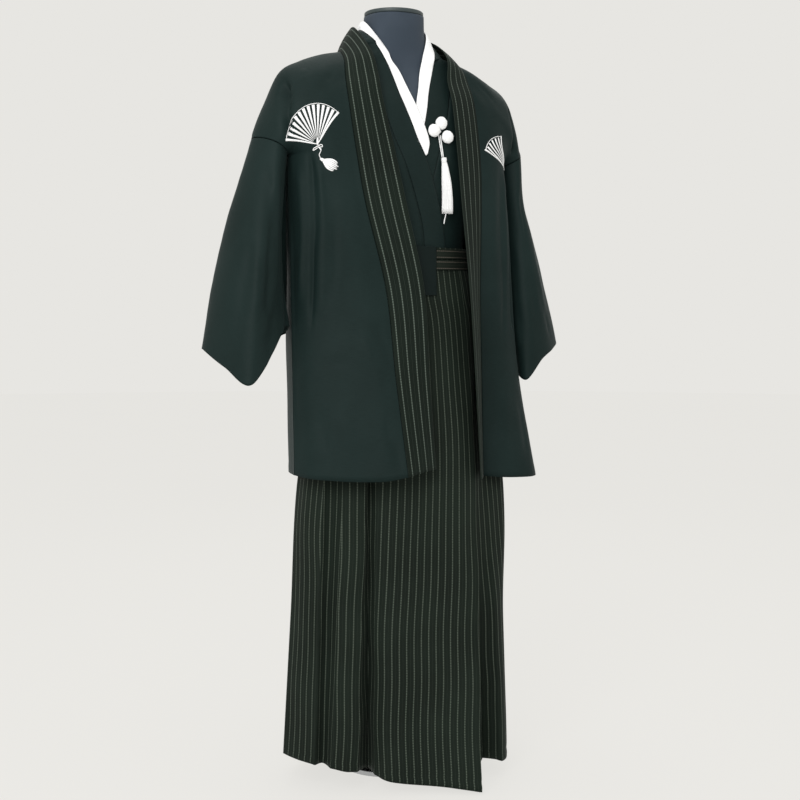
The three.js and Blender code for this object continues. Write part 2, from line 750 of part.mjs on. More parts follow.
// Rings of each sleeve from the armhole to the cuff: outer fold, front, inner side, back.
const SLEEVE_RIGHT = crossRows([
  {
    fold: [-302, 8, 1251], foldFront: [-293, -22, 1248],
    front: [-276, -45, 1238], inFront: [-255, -36, 1226],
    underarm: [-242, -14, 1220], inBack: [-252, 22, 1226],
    back: [-272, 52, 1238], foldBack: [-294, 34, 1249],
  },
  {
    fold: [-332, 8, 1165], foldFront: [-320, -34, 1163],
    front: [-292, -62, 1162], inFront: [-264, -42, 1165],
    underarm: [-251, -12, 1165], inBack: [-258, 28, 1168],
    back: [-286, 58, 1165], foldBack: [-318, 40, 1164],
  },
  {
    fold: [-359, 6, 1080], foldFront: [-347, -44, 1080],
    front: [-312, -76, 1078], inFront: [-271, -48, 1085],
    underarm: [-256, -10, 1085], inBack: [-266, 35, 1085],
    back: [-302, 66, 1082], foldBack: [-340, 46, 1080],
  },
  {
    fold: [-388, 8, 958], foldFront: [-376, -54, 948],
    front: [-338, -94, 938], inFront: [-274, -52, 960],
    underarm: [-262, -5, 960], inBack: [-274, 42, 955],
    back: [-322, 72, 950], foldBack: [-366, 52, 952],
  },
  {
    fold: [-408, 8, 850], foldFront: [-391, -56, 818],
    front: [-358, -110, 788], inFront: [-272, -58, 888],
    underarm: [-266, -4, 880], inBack: [-278, 48, 856],
    back: [-330, 76, 846], foldBack: [-382, 52, 846],
  },
]);
const SLEEVE_LEFT = crossRows([
  {
    fold: [300, -4, 1251], foldFront: [292, -28, 1248],
    front: [274, -47, 1238], inFront: [254, -36, 1226],
    underarm: [243, -12, 1220], inBack: [251, 22, 1226],
    back: [270, 50, 1238], foldBack: [293, 26, 1249],
  },
  {
    fold: [306, -8, 1150], foldFront: [293, -38, 1150],
    front: [273, -54, 1150], inFront: [257, -40, 1150],
    underarm: [251, -12, 1150], inBack: [256, 26, 1150],
    back: [280, 50, 1150], foldBack: [302, 26, 1150],
  },
  {
    fold: [326, -15, 1085], foldFront: [306, -46, 1085],
    front: [281, -62, 1085], inFront: [262, -46, 1085],
    underarm: [254, -14, 1085], inBack: [260, 28, 1085],
    back: [289, 52, 1085], foldBack: [319, 28, 1085],
  },
  {
    fold: [360, -22, 957], foldFront: [330, -58, 955],
    front: [298, -74, 950], inFront: [272, -60, 945],
    underarm: [262, -20, 950], inBack: [268, 28, 955],
    back: [306, 56, 955], foldBack: [349, 32, 957],
  },
  {
    fold: [385, -25, 858], foldFront: [350, -64, 842],
    front: [314, -78, 822], inFront: [276, -76, 780],
    underarm: [274, -30, 800], inBack: [278, 28, 850],
    back: [322, 58, 860], foldBack: [371, 34, 858],
  },
]);
const RING_UNDERARM = 4; // the ring point at the underarm

// A closed curve that starts and ends at the underarm.
const ringFrom = (ring) => [...ring.slice(RING_UNDERARM), ...ring.slice(0, RING_UNDERARM + 1)];

function haoriSleeve(name, table, flip) {
  const rings = table.map(ringFrom);
  const spans = table.length - 1;
  const around = 8 * ARM_STEPS;
  wall(name, FINISH.black, {
    cu: around,
    cv: spans * 3,
    thickness: CLOTH,
    ring: true,
    pointAt: (u, v) => {
      const at = patch(rings, flip ? 1 - u : u, 1 - v);
      return [at[0], at[1], at[2] - (v > 0.999 ? ARMHOLE_GAP : 0)];
    },
  });
}

// The kimono's sleeves run inside the haori's: from the shoulder, through its armhole, to near its cuff.
const SHOULDER_RING = [
  { turn: 90, z: 1374 },
  { turn: 75, z: 1350 },
  { turn: 71, z: 1302 },
  { turn: 77, z: 1264 },
  { turn: 90, z: 1246 },
  { turn: 103, z: 1264 },
  { turn: 109, z: 1302 },
  { turn: 105, z: 1350 },
];

function kimonoSleeve(name, table, side) {
  const sign = side === "right" ? -1 : 1;
  const root = SHOULDER_RING.map(({ turn, z }) => figurePoint(sign * turn, z, SLEEVE_ROOT_OUT));
  const inside = table.map((ring, k) => {
    const centre = ring[0].map((_, c) => ring.reduce((sum, p) => sum + p[c], 0) / ring.length);
    const lift = k === table.length - 1 ? CUFF_SETBACK : 0;
    return ring.map((p) => p.map((v, c) => mix(centre[c], v, NESTED) + (c === 2 ? lift : 0)));
  });
  const rings = [root, ...inside].map(ringFrom);
  wall(name, FINISH.black, {
    cu: 16,
    cv: (rings.length - 1) * 2,
    thickness: CLOTH,
    ring: true,
    pointAt: (u, v) => patch(rings, sign < 0 ? u : 1 - u, 1 - v),
  });
}

function buildHaori() {
  const first = set.children.length;
  haoriBody("haori_body_right", HAORI_RIGHT, "right");
  haoriBody("haori_body_left", HAORI_LEFT, "left");
  haoriSleeve("haori_sleeve_right", SLEEVE_RIGHT, false);
  haoriSleeve("haori_sleeve_left", SLEEVE_LEFT, true);
  haoriCollar();
  for (const mesh of set.children.slice(first)) mesh.position.z -= SETTLE;
  kimonoSleeve("kimono_sleeve_right", SLEEVE_RIGHT, "right");
  kimonoSleeve("kimono_sleeve_left", SLEEVE_LEFT, "left");
}

// ---------------------------------------------------------------- the hakama
// The section from the right side round the front to the left side: turn at the waist, then the place of
// each fold where the pleats have opened, then at the hem.
const HAKAMA_FRONT = [
  { turn: -89.5, midX: -203, midY: 20, hemX: -227, hemY: 41, hemZ: 45, sharp: 0 },
  { turn: -78, midX: -204, midY: -18, hemX: -216, hemY: 4, hemZ: 42, sharp: 0 },
  { turn: -71, midX: -197, midY: -46, hemX: -204, hemY: -22, hemZ: 40, sharp: 0 },
  { turn: -66, midX: -190, midY: -64, hemX: -197, hemY: -36, hemZ: 39, sharp: 1 },
  { turn: -61, midX: -170, midY: -66, hemX: -175, hemY: -28, hemZ: 37, sharp: 0 },
  { turn: -55, midX: -160, midY: -86, hemX: -172, hemY: -57, hemZ: 34, sharp: 1 },
  { turn: -48, midX: -140, midY: -95, hemX: -152, hemY: -80, hemZ: 30, sharp: 0 },
  { turn: -41, midX: -122, midY: -101, hemX: -130, hemY: -86, hemZ: 28, sharp: 1 },
  { turn: -36, midX: -106, midY: -90, hemX: -92, hemY: -58, hemZ: 26, sharp: 1 },
  { turn: -31, midX: -100, midY: -108, hemX: -96, hemY: -94, hemZ: 20, sharp: 1 },
  { turn: -25, midX: -82, midY: -122, hemX: -87, hemY: -121, hemZ: 14, sharp: 0 },
  { turn: -16, midX: -50, midY: -132, hemX: -60, hemY: -136, hemZ: 8, sharp: 0 },
  { turn: -2, midX: 20, midY: -141, hemX: 8, hemY: -168, hemZ: 0, sharp: 0 },
  { turn: 10, midX: 70, midY: -143, hemX: 44, hemY: -191, hemZ: -5, sharp: 0 },
  { turn: 21, midX: 110, midY: -134, hemX: 75, hemY: -211, hemZ: -10, sharp: 1 },
  { turn: 26, midX: 116, midY: -118, hemX: 108, hemY: -152, hemZ: 5, sharp: 0 },
  { turn: 31, midX: 128, midY: -104, hemX: 144, hemY: -110, hemZ: 18, sharp: 1 },
  { turn: 42, midX: 156, midY: -88, hemX: 161, hemY: -131, hemZ: 18, sharp: 0 },
  { turn: 54, midX: 186, midY: -80, hemX: 174, hemY: -142, hemZ: 16, sharp: 0 },
  { turn: 68, midX: 222, midY: -62, hemX: 205, hemY: -104, hemZ: 18, sharp: 0 },
  { turn: 89.5, midX: 240, midY: 0, hemX: 246, hemY: 20, hemZ: 30, sharp: 0 },
];
const HAKAMA_BACK = [
  { turn: 90.5, midX: 240, midY: 1.5, hemX: 246, hemY: 21.5, hemZ: 30, sharp: 0 },
  { turn: 114, midX: 220, midY: 66, hemX: 230, hemY: 80, hemZ: 28, sharp: 0 },
  { turn: 138, midX: 160, midY: 114, hemX: 178, hemY: 132, hemZ: 26, sharp: 0 },
  { turn: 158, midX: 84, midY: 130, hemX: 92, hemY: 156, hemZ: 25, sharp: 1 },
  { turn: 180, midX: 0, midY: 124, hemX: 0, hemY: 146, hemZ: 25, sharp: 0 },
  { turn: 202, midX: -84, midY: 130, hemX: -92, hemY: 156, hemZ: 26, sharp: 1 },
  { turn: 222, midX: -140, midY: 106, hemX: -164, hemY: 128, hemZ: 30, sharp: 0 },
  { turn: 246, midX: -177, midY: 64, hemX: -200, hemY: 84, hemZ: 38, sharp: 0 },
  { turn: 269.5, midX: -203, midY: 21.5, hemX: -227, hemY: 42.5, hemZ: 45, sharp: 0 },
];

function hakamaPanel(name, table, each) {
  const spans = table.length - 1;
  const breaks = table.map((row, i) => (row.sharp ? i : -1)).filter((i) => i > 0);
  const round = ({ z, out }) => table.map((row) => figurePoint(row.turn, z, HAKAMA_OUT + out));
  const middle = table.map((row) => [row.midX, row.midY, SKIRT_MID]);
  const hem = table.map((row) => [row.hemX, row.hemY, row.hemZ]);
  const lower = table.map((row, i) => middle[i].map((value, c) => mix(value, hem[i][c], 0.5)));
  const rings = [...WAIST_RINGS.map(round), middle, lower, hem];
  wall(name, FINISH.striped, {
    cu: spans * each,
    cv: SKIRT_STEPS.length - 1,
    vs: SKIRT_STEPS,
    thickness: CLOTH,
    pointAt: (u, row) => {
      const points = rings.map((ring) => through(ring, u, breaks));
      return through(points, 1 - row / (rings.length - 1));
    },
  });
}

function tie(name, height, slope, out) {
  wall(name, FINISH.striped, {
    cu: 36,
    cv: 1,
    thickness: BAND,
    ring: true,
    pointAt: (u, v) => {
      const turn = 360 * u;
      const z = height + slope * Math.sin(radians(turn)) + (v - 0.5) * TIE_HEIGHT;
      return figurePoint(turn, z, out);
    },
  });
}

function buildHakama() {
  hakamaPanel("hakama_front", HAKAMA_FRONT, 2);
  hakamaPanel("hakama_back", HAKAMA_BACK, 2);
  tie("waist_tie_upper", WAIST_TOP - 13, 1, TIE_OUT);
  tie("waist_tie_lower", WAIST_TOP - 13 - TIE_STEP, 1, TIE_OUT);
}

// ---------------------------------------------------------------- sash end and ornament
function buildTrim() {
  const left = -27;
  wall("sash_end", FINISH.black, {
    cu: 3,
    cv: 8,
    thickness: BAND,
    pointAt: (u, v) => {
      const z = WAIST_TOP + 2 - TAIL_LENGTH * (1 - v);
      const x = left + u * TAIL_WIDTH;
      return frontPoint(x, z, TAIL_OUT);
    },
  });
  const balls = [
    ["ornament_ball_top", 42, 1286],
    ["ornament_ball_right", 24, 1271],
    ["ornament_ball_left", 54.5, 1261],
  ];
  for (const [name, x, z] of balls) ball(name, x, z, BALL_RADIUS, BALL_FLAT);
  ball("ornament_bead", 38.6, 1271, BEAD_RADIUS, 1);
  cord("ornament_cord_right", [36.8, 1264], [43.4, 1222.5]);
  cord("ornament_cord_left", [41, 1264], [46.6, 1222.5]);
  tassel();
}

const onChest = (x, z, lift) => frontPoint(x, z, UNDER_OUT + BAND / 2 + REST + lift);

function ball(name, x, z, radius, flat) {
  const mesh = new THREE.Mesh(new THREE.SphereGeometry(radius, 18, 10), FINISH.white);
  mesh.name = name;
  mesh.scale.set(1, flat, 1);
  mesh.position.set(...onChest(x, z, radius * flat));
  set.add(mesh);
}

// A round tube through points, lofted from small rings.
function tubeRings(points, radiusAt, sides) {
  const count = points.length;
  return points.map((p, k) => {
    const before = vector(points[Math.max(0, k - 1)]);
    const axis = vector(points[Math.min(count - 1, k + 1)]).sub(before).normalize();
    const across = new THREE.Vector3(0, 1, 0).cross(axis).normalize();
    const up = axis.clone().cross(across);
    const radius = radiusAt(k / (count - 1));
    return Array.from({ length: sides }, (_, i) => {
      const angle = (2 * Math.PI * i) / sides;
      return vector(p)
        .addScaledVector(across, radius * Math.cos(angle))
        .addScaledVector(up, radius * Math.sin(angle))
        .toArray();
    });
  });
}

function cord(name, from, to) {
  const points = stepsOf(1, 6).map((t) =>
    onChest(mix(from[0], to[0], t), mix(from[1], to[1], t), CORD_RADIUS + 0.2),
  );
  loft(name, FINISH.white, tubeRings(points, () => CORD_RADIUS, 8));
}

// A head with strands fused into its underside, hanging down the chest.
function tassel() {
  const top = onChest(45, TASSEL_TOP, TASSEL_HEAD + 0.4);
  const low = onChest(55, TASSEL_TOP - TASSEL_LENGTH, TASSEL_SPREAD + 0.6);
  const head = Manifold.revolve(
    [[[0, -16], [4.6, -15], [TASSEL_HEAD, -11], [4.2, -7], [4.6, -3], [2.4, 0], [0, 0.6]]],
    16,
  ).translate(top[0], top[1], top[2]);
  const solids = [head];
  for (const { strands, root, end } of STRAND_RINGS)
    for (let i = 0; i < strands; i++) {
      const angle = (2 * Math.PI * (i + 0.5)) / strands;
      const ring = (radius) => [radius * Math.cos(angle), radius * Math.sin(angle) * 0.6];
      const path = [0, 0.3, 0.65, 1].map((t) => {
        const [dx, dy] = ring(mix(root, end, Math.sqrt(t)));
        const z = mix(top[2] - 12, low[2], t);
        return [mix(top[0], low[0], t) + dx, mix(top[1], low[1], t) + dy, z];
      });
      solids.push(solidOf(tubeRings(path, () => STRAND_WIDTH / 2, 4)));
    }
  const whole = Manifold.union(solids).getMesh();
  const geometry = new THREE.BufferGeometry();
  const stride = whole.numProp;
  const positions = [];
  for (let i = 0; i < whole.vertProperties.length; i += stride)
    positions.push(...whole.vertProperties.slice(i, i + 3));
  geometry.setAttribute("position", new THREE.Float32BufferAttribute(positions, 3));
  geometry.setIndex(Array.from(whole.triVerts));
  geometry.computeVertexNormals();
  const mesh = new THREE.Mesh(geometry, FINISH.white);
  mesh.name = "ornament_tassel";
  set.add(mesh);
}

function solidOf(rings) {
  const { positions, triangles } = loftParts(rings);
  const mesh = new SolidMesh({
    numProp: 3,
    vertProperties: new Float32Array(positions.flat()),
    triVerts: new Uint32Array(triangles.flat()),
  });
  mesh.merge();
  return new Manifold(mesh);
}

buildForm();
buildKimono();
buildHaori();
buildHakama();
buildTrim();
for (const mesh of set.children) mesh.position.z -= FLOOR;

export default set;
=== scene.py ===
"""A men's kimono set on a dress form: the cloth, trimming, form, stand, light and camera."""
import math

import bpy
import numpy as np
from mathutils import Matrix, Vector
from mathutils.bvhtree import BVHTree


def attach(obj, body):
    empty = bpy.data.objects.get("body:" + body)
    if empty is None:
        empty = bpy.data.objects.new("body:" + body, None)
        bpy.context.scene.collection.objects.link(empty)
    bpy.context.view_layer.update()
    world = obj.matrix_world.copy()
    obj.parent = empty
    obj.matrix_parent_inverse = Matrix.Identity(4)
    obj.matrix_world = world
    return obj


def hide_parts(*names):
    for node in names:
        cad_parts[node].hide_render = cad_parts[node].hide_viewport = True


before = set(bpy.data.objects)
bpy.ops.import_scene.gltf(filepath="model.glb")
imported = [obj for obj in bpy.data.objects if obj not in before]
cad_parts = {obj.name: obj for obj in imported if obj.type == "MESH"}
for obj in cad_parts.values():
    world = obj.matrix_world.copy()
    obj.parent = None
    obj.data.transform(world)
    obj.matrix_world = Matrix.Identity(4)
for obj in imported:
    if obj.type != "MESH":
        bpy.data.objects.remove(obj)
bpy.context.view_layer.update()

# ------------------------------------------------------------------ sizes, in millimetres
# Thickness of a single cloth and of a folded band, the floor, and how far the haori settles.
CLOTH = 1.4
BAND = 2.0
FLOOR = -16.0
SETTLE = 0.7
# How far the middle of each layer lies out from the form, and a further layer from the one under it.
UNDER_OUT = 3.5
UPPER_OUT = 7.4
SLEEVE_ROOT_OUT = 7.2
HAKAMA_OUT = 10.2
TIE_OUT = 13.8
TAIL_OUT = 17.0
LAYER = 1.5
FORM_BOTTOM = 862
FORM_TOP = 1508
STAND_PLACE = (15, 52)
COLLAR_WIDTH = 48.0
KIMONO_TOP = 1424.0
KIMONO_BOTTOM = 936.0
WAIST_TOP = 1046.0
# Height of each ring of the hakama under its waist, and how much further out it lies.
WAIST_RINGS = [(1046, 0), (1005, 0.3), (952, 3), (870, 12)]
SKIRT_MID = 600.0
TIE_HEIGHT = 20.0
TIE_STEP = 22.0
TAIL_WIDTH = 56.0
TAIL_LENGTH = 96.0
HAORI_TRIM = 1.3
# The inner sleeve's share of the outer one's section, and how far its cuff stays back.
NESTED = 0.76
CUFF_SETBACK = 16.0
# Rows of the haori's tables at the underarm (front and back) and at the neck; a sleeve ring's underarm point.
UNDERARM = (4, 12)
NECK_ROW = 10
RING_UNDERARM = 4
SIGN = {"right": -1, "left": 1}

# Sections of the form: height, half width, half depth, centre in Y.
FIGURE = [
    (862, 132, 90, 0),
    (900, 146, 98, 0),
    (960, 150, 101, 0),
    (1040, 143, 98, -2),
    (1120, 156, 103, -3),
    (1200, 178, 108, -3),
    (1260, 196, 107, -1),
    (1315, 214, 99, 1),
    (1350, 226, 88, 4),
    (1372, 222, 80, 5),
    (1388, 206, 75, 6),
    (1401, 178, 71, 6),
    (1413, 142, 68, 5),
    (1425, 110, 65, 4),
    (1438, 84, 62, 2),
    (1454, 67, 60, 0),
    (1475, 60, 58.5, -1),
    (1508, 58, 57, -3),
]
# Crossed front edges: height, x of the right edge, x of the left edge.
KIMONO_EDGE = [
    (936, 60, -62),
    (1049, 57, -50),
    (1083, 52, -44),
    (1143, 33, -32),
    (1217, 5, -14),
    (1255, -13, -1),
    (1281, -22, 8.5),
    (1327, -39, 24),
    (1357, -45, 35.4),
    (1393, -52, 50),
    (1424, -62, 62),
]
# The kimono collar's inner edge round the neck: x, y, z and the turn of the cloth under it.
NECK_LINE = [
    (-72, -53, 1446, -76),
    (-76.5, -28, 1464, -84),
    (-76.5, 0, 1475, -96),
    (-56, 47, 1478, -138),
    (0, 69, 1480, -180),
    (56, 47, 1477, -222),
    (77, 0, 1469, -262),
    (73, -36, 1444, -275),
    (58, -67.8, 1420, -285),
]
# The white collar's edges on the chest: outer x and z, inner x and z.
WHITE_CHEST_RIGHT = [
    (5.5, 1222, 9.5, 1226),
    (-11, 1255, 14, 1250),
    (-21, 1281, 4, 1283),
    (-36.5, 1327, -9, 1318),
    (-43, 1360, -20, 1352),
    (-50, 1393, -30, 1384),
    (-57.5, 1415, -42, 1406),
]
WHITE_CHEST_LEFT = [
    (48, 1390, 18, 1384),
    (34, 1357, 8, 1352),
    (22.5, 1327, -4, 1322),
    (7, 1281, -18, 1278),
    (-6, 1246, -28, 1244),
]
# The white collar round the neck: a place on its inner edge and one on its outer edge.
WHITE_NECK = [
    ((-48, -62, 1428), (-69.5, -54.5, 1446.5)),
    ((-60, -30, 1468), (-75.5, -28, 1465.5)),
    ((-66, 0, 1494), (-75, 0, 1476.5)),
    ((-49, 44, 1496), (-54.5, 46, 1479)),
    ((0, 62, 1497), (0, 67.5, 1481)),
    ((49, 44, 1495), (54.5, 46, 1478.5)),
    ((64, 0, 1490), (75.5, 0, 1470.5)),
    ((50.5, -45.5, 1466), (71, -37, 1445.5)),
    ((28, -67, 1418), (56, -67, 1421)),
]
# The haori's bodies: rows from the front hem over the shoulder to the back hem, each from the front edge or
# the centre back to the armhole side.
HAORI_RIGHT = [
    [(-71, -184, 608), (-115, -168, 601), (-160, -138, 600),
     (-198, -112, 602), (-226, -82, 604), (-240, -45, 608)],
    [(-79, -150, 790), (-118, -142, 790), (-158, -124, 790),
     (-196, -98, 790), (-226, -68, 790), (-240, -36, 790)],
    [(-81, -115, 962), (-120, -112, 962), (-158, -102, 962),
     (-196, -84, 962), (-226, -56, 962), (-240, -26, 962)],
    [(-119, -103, 1127), (-146, -100, 1127), (-176, -90, 1127),
     (-205, -74, 1127), (-228, -50, 1127), (-240, -20, 1127)],
    [(-136, -98, 1225), (-160, -95, 1225), (-186, -88, 1224),
     (-211, -72, 1223), (-230, -48, 1222), (-240, -16, 1221)],
    [(-152, -95, 1328), (-172, -92, 1316), (-198, -86, 1300),
     (-224, -76, 1278), (-242, -60, 1252), (-255, -36, 1227)],
    [(-150, -80, 1368), (-174, -80, 1354), (-204, -78, 1334),
     (-238, -72, 1302), (-262, -60, 1268), (-276, -45, 1239)],
    [(-138, -52, 1406), (-166, -52, 1396), (-206, -55, 1376),
     (-244, -49, 1345), (-273, -37, 1296), (-293, -22, 1249)],
    [(-120, 0, 1430), (-162, 2, 1421), (-208, 4, 1404),
     (-248, 5, 1379), (-275, 6, 1318), (-302, 8, 1252)],
    [(-87, 69, 1429), (-130, 68, 1412), (-182, 66, 1388),
     (-232, 56, 1350), (-270, 44, 1300), (-294, 34, 1250)],
    [(-0.25, 98, 1417), (-78, 102, 1396), (-145, 99, 1366),
     (-203, 90, 1325), (-245, 74, 1275), (-272, 52, 1239)],
    [(-0.25, 112, 1350), (-64, 114, 1340), (-124, 110, 1320),
     (-180, 98, 1294), (-224, 68, 1262), (-252, 22, 1227)],
    [(-0.25, 122, 1240), (-60, 123, 1238), (-118, 117, 1235),
     (-175, 98, 1230), (-219, 60, 1225), (-240, -12, 1221)],
    [(-0.25, 126, 1127), (-60, 127, 1127), (-118, 120, 1127),
     (-175, 100, 1127), (-216, 56, 1127), (-240, -16, 1127)],
    [(-0.25, 130, 962), (-60, 131, 962), (-120, 124, 962),
     (-176, 104, 962), (-214, 54, 962), (-240, -22, 962)],
    [(-0.25, 140, 790), (-62, 141, 790), (-122, 132, 790),
     (-172, 106, 790), (-213, 50, 790), (-242, -32, 790)],
    [(-0.25, 150, 602), (-64, 151, 602), (-124, 140, 602),
     (-172, 110, 603), (-213, 40, 606), (-244, -41, 608)],
]
HAORI_LEFT = [
    [(152, -98, 590), (190, -111, 586), (230, -115, 584),
     (268, -108, 583), (290, -84, 585), (293, -42, 590)],
    [(152, -92, 790), (184, -100, 790), (216, -98, 790),
     (246, -85, 790), (264, -60, 790), (267, -28, 790)],
    [(150, -90, 962), (178, -96, 962), (208, -92, 962),
     (236, -76, 962), (253, -50, 962), (254, -20, 962)],
    [(148, -97, 1127), (174, -98, 1127), (202, -91, 1127),
     (227, -75, 1127), (242, -48, 1127), (244, -18, 1127)],
    [(146, -96, 1225), (170, -96, 1225), (196, -89, 1224),
     (218, -73, 1223), (234, -48, 1222), (241, -14, 1221)],
    [(138, -88, 1328), (164, -89, 1316), (194, -85, 1300),
     (222, -75, 1278), (242, -58, 1252), (254, -36, 1227)],
    [(132, -74, 1375), (160, -76, 1358), (196, -77, 1336),
     (236, -70, 1304), (262, -56, 1270), (274, -47, 1239)],
    [(127, -50, 1413), (160, -56, 1398), (204, -52, 1375),
     (247, -46, 1346), (276, -34, 1298), (292, -28, 1249)],
    [(122, 0, 1430), (163, 2, 1414), (210, 4, 1398),
     (252, 5, 1377), (282, 2, 1330), (300, -4, 1252)],
    [(87, 69, 1429), (130, 68, 1412), (182, 66, 1388),
     (232, 56, 1350), (272, 42, 1300), (293, 26, 1250)],
    [(0.25, 98, 1417), (78, 102, 1396), (145, 99, 1366),
     (203, 90, 1325), (246, 73, 1275), (270, 50, 1239)],
    [(0.25, 112, 1350), (64, 114, 1340), (124, 110, 1320),
     (180, 98, 1294), (225, 68, 1262), (251, 22, 1227)],
    [(0.25, 122, 1240), (60, 123, 1238), (118, 117, 1235),
     (176, 98, 1230), (222, 60, 1225), (241, -10, 1221)],
    [(0.25, 126, 1127), (60, 127, 1127), (118, 120, 1127),
     (177, 100, 1127), (226, 58, 1127), (244, -14, 1127)],
    [(0.25, 130, 962), (60, 131, 962), (120, 124, 962),
     (180, 104, 962), (234, 58, 962), (254, -16, 962)],
    [(0.25, 140, 790), (62, 141, 790), (124, 132, 790),
     (186, 110, 790), (244, 60, 790), (267, -24, 790)],
    [(0.25, 150, 600), (64, 151, 598), (126, 140, 595),
     (190, 116, 592), (256, 62, 590), (294, -38, 590)],
]
# The haori's sleeves: rings from the armhole to the cuff.
SLEEVE_RIGHT = [
    [(-302, 8, 1251), (-293, -22, 1248), (-276, -45, 1238), (-255, -36, 1226),
     (-242, -14, 1220), (-252, 22, 1226), (-272, 52, 1238), (-294, 34, 1249)],
    [(-332, 8, 1165), (-320, -34, 1163), (-292, -62, 1162), (-264, -42, 1165),
     (-251, -12, 1165), (-258, 28, 1168), (-286, 58, 1165), (-318, 40, 1164)],
    [(-359, 6, 1080), (-347, -44, 1080), (-312, -76, 1078), (-271, -48, 1085),
     (-256, -10, 1085), (-266, 35, 1085), (-302, 66, 1082), (-340, 46, 1080)],
    [(-388, 8, 958), (-376, -54, 948), (-338, -94, 938), (-274, -52, 960),
     (-262, -5, 960), (-274, 42, 955), (-322, 72, 950), (-366, 52, 952)],
    [(-408, 8, 850), (-391, -56, 818), (-358, -110, 788), (-272, -58, 888),
     (-266, -4, 880), (-278, 48, 856), (-330, 76, 846), (-382, 52, 846)],
]
SLEEVE_LEFT = [
    [(300, -4, 1251), (292, -28, 1248), (274, -47, 1238), (254, -36, 1226),
     (243, -12, 1220), (251, 22, 1226), (270, 50, 1238), (293, 26, 1249)],
    [(306, -8, 1150), (293, -38, 1150), (273, -54, 1150), (257, -40, 1150),
     (251, -12, 1150), (256, 26, 1150), (280, 50, 1150), (302, 26, 1150)],
    [(326, -15, 1085), (306, -46, 1085), (281, -62, 1085), (262, -46, 1085),
     (254, -14, 1085), (260, 28, 1085), (289, 52, 1085), (319, 28, 1085)],
    [(360, -22, 957), (330, -58, 955), (298, -74, 950), (272, -60, 945),
     (262, -20, 950), (268, 28, 955), (306, 56, 955), (349, 32, 957)],
    [(385, -25, 858), (350, -64, 842), (314, -78, 822), (276, -76, 780),
     (274, -30, 800), (278, 28, 850), (322, 58, 860), (371, 34, 858)],
]
# The inner edge of the haori's collar, from the hem to the centre back.
COLLAR_RIGHT = [
    (0, -165, 618),
    (-6, -152, 790),
    (-11, -140, 962),
    (-45, -130, 1127),
    (-64, -120, 1225),
    (-86, -110, 1328),
    (-88, -96, 1376),
    (-88, -68, 1426),
    (-86, 0, 1480),
    (-65, 55, 1485),
    (0, 78, 1488),
]
COLLAR_LEFT = [
    (108, -160, 590),
    (100, -152, 790),
    (93, -142, 962),
    (82, -130, 1127),
    (78, -120, 1225),
    (72, -110, 1328),
    (73, -90, 1376),
    (84, -69, 1427),
    (93, 0, 1467),
    (65, 55, 1484),
    (0, 78, 1488),
]
# Where the inner sleeve starts: turn round the form and height.
SHOULDER_RING = [
    (90, 1374), (75, 1350), (71, 1302), (77, 1264),
    (90, 1246), (103, 1264), (109, 1302), (105, 1350),
]
# The hakama's columns: turn at the waist, x and y at SKIRT_MID, x, y and z at the hem, 1 for a sharp pleat.
HAKAMA_FRONT = [
    (-89.5, -203, 20, -227, 41, 45, 0),
    (-78, -204, -18, -216, 4, 42, 0),
    (-71, -197, -46, -204, -22, 40, 0),
    (-66, -190, -64, -197, -36, 39, 1),
    (-61, -170, -66, -175, -28, 37, 0),
    (-55, -160, -86, -172, -57, 34, 1),
    (-48, -140, -95, -152, -80, 30, 0),
    (-41, -122, -101, -130, -86, 28, 1),
    (-36, -106, -90, -92, -58, 26, 1),
    (-31, -100, -108, -96, -94, 20, 1),
    (-25, -82, -122, -87, -121, 14, 0),
    (-16, -50, -132, -60, -136, 8, 0),
    (-2, 20, -141, 8, -168, 0, 0),
    (10, 70, -143, 44, -191, -5, 0),
    (21, 110, -134, 75, -211, -10, 1),
    (26, 116, -118, 108, -152, 5, 0),
    (31, 128, -104, 144, -110, 18, 1),
    (42, 156, -88, 161, -131, 18, 0),
    (54, 186, -80, 174, -142, 16, 0),
    (68, 222, -62, 205, -104, 18, 0),
    (89.5, 240, 0, 246, 20, 30, 0),
]
HAKAMA_BACK = [
    (90.5, 240, 1.5, 246, 21.5, 30, 0),
    (114, 220, 66, 230, 80, 28, 0),
    (138, 160, 114, 178, 132, 26, 0),
    (158, 84, 130, 92, 156, 25, 1),
    (180, 0, 124, 0, 146, 25, 0),
    (202, -84, 130, -92, 156, 26, 1),
    (222, -140, 106, -164, 128, 30, 0),
    (246, -177, 64, -200, 84, 38, 0),
    (269.5, -203, 21.5, -227, 42.5, 45, 0),
]


# ------------------------------------------------------------------ small maths
def mix(a, b, t):
    return a + (b - a) * t


def smooth(t):
    t = np.clip(t, 0, 1)
    return t * t * (3 - 2 * t)


def bell(x, width):
    """1 where x is 0, falling away to both sides over a width."""
    return np.exp(-((x / width) ** 2))


def unit(v):
    return v / np.maximum(np.linalg.norm(v, axis=-1, keepdims=True), 1e-9)


def hermite(t, a, slope_a, b, slope_b):
    """A cubic from a to b with a slope at each end, as t goes from 0 to 1."""
    t2, t3 = t * t, t * t * t
    return (
        (2 * t3 - 3 * t2 + 1) * a
        + (t3 - 2 * t2 + t) * slope_a
        + (3 * t2 - 2 * t3) * b
        + (t3 - t2) * slope_b
    )


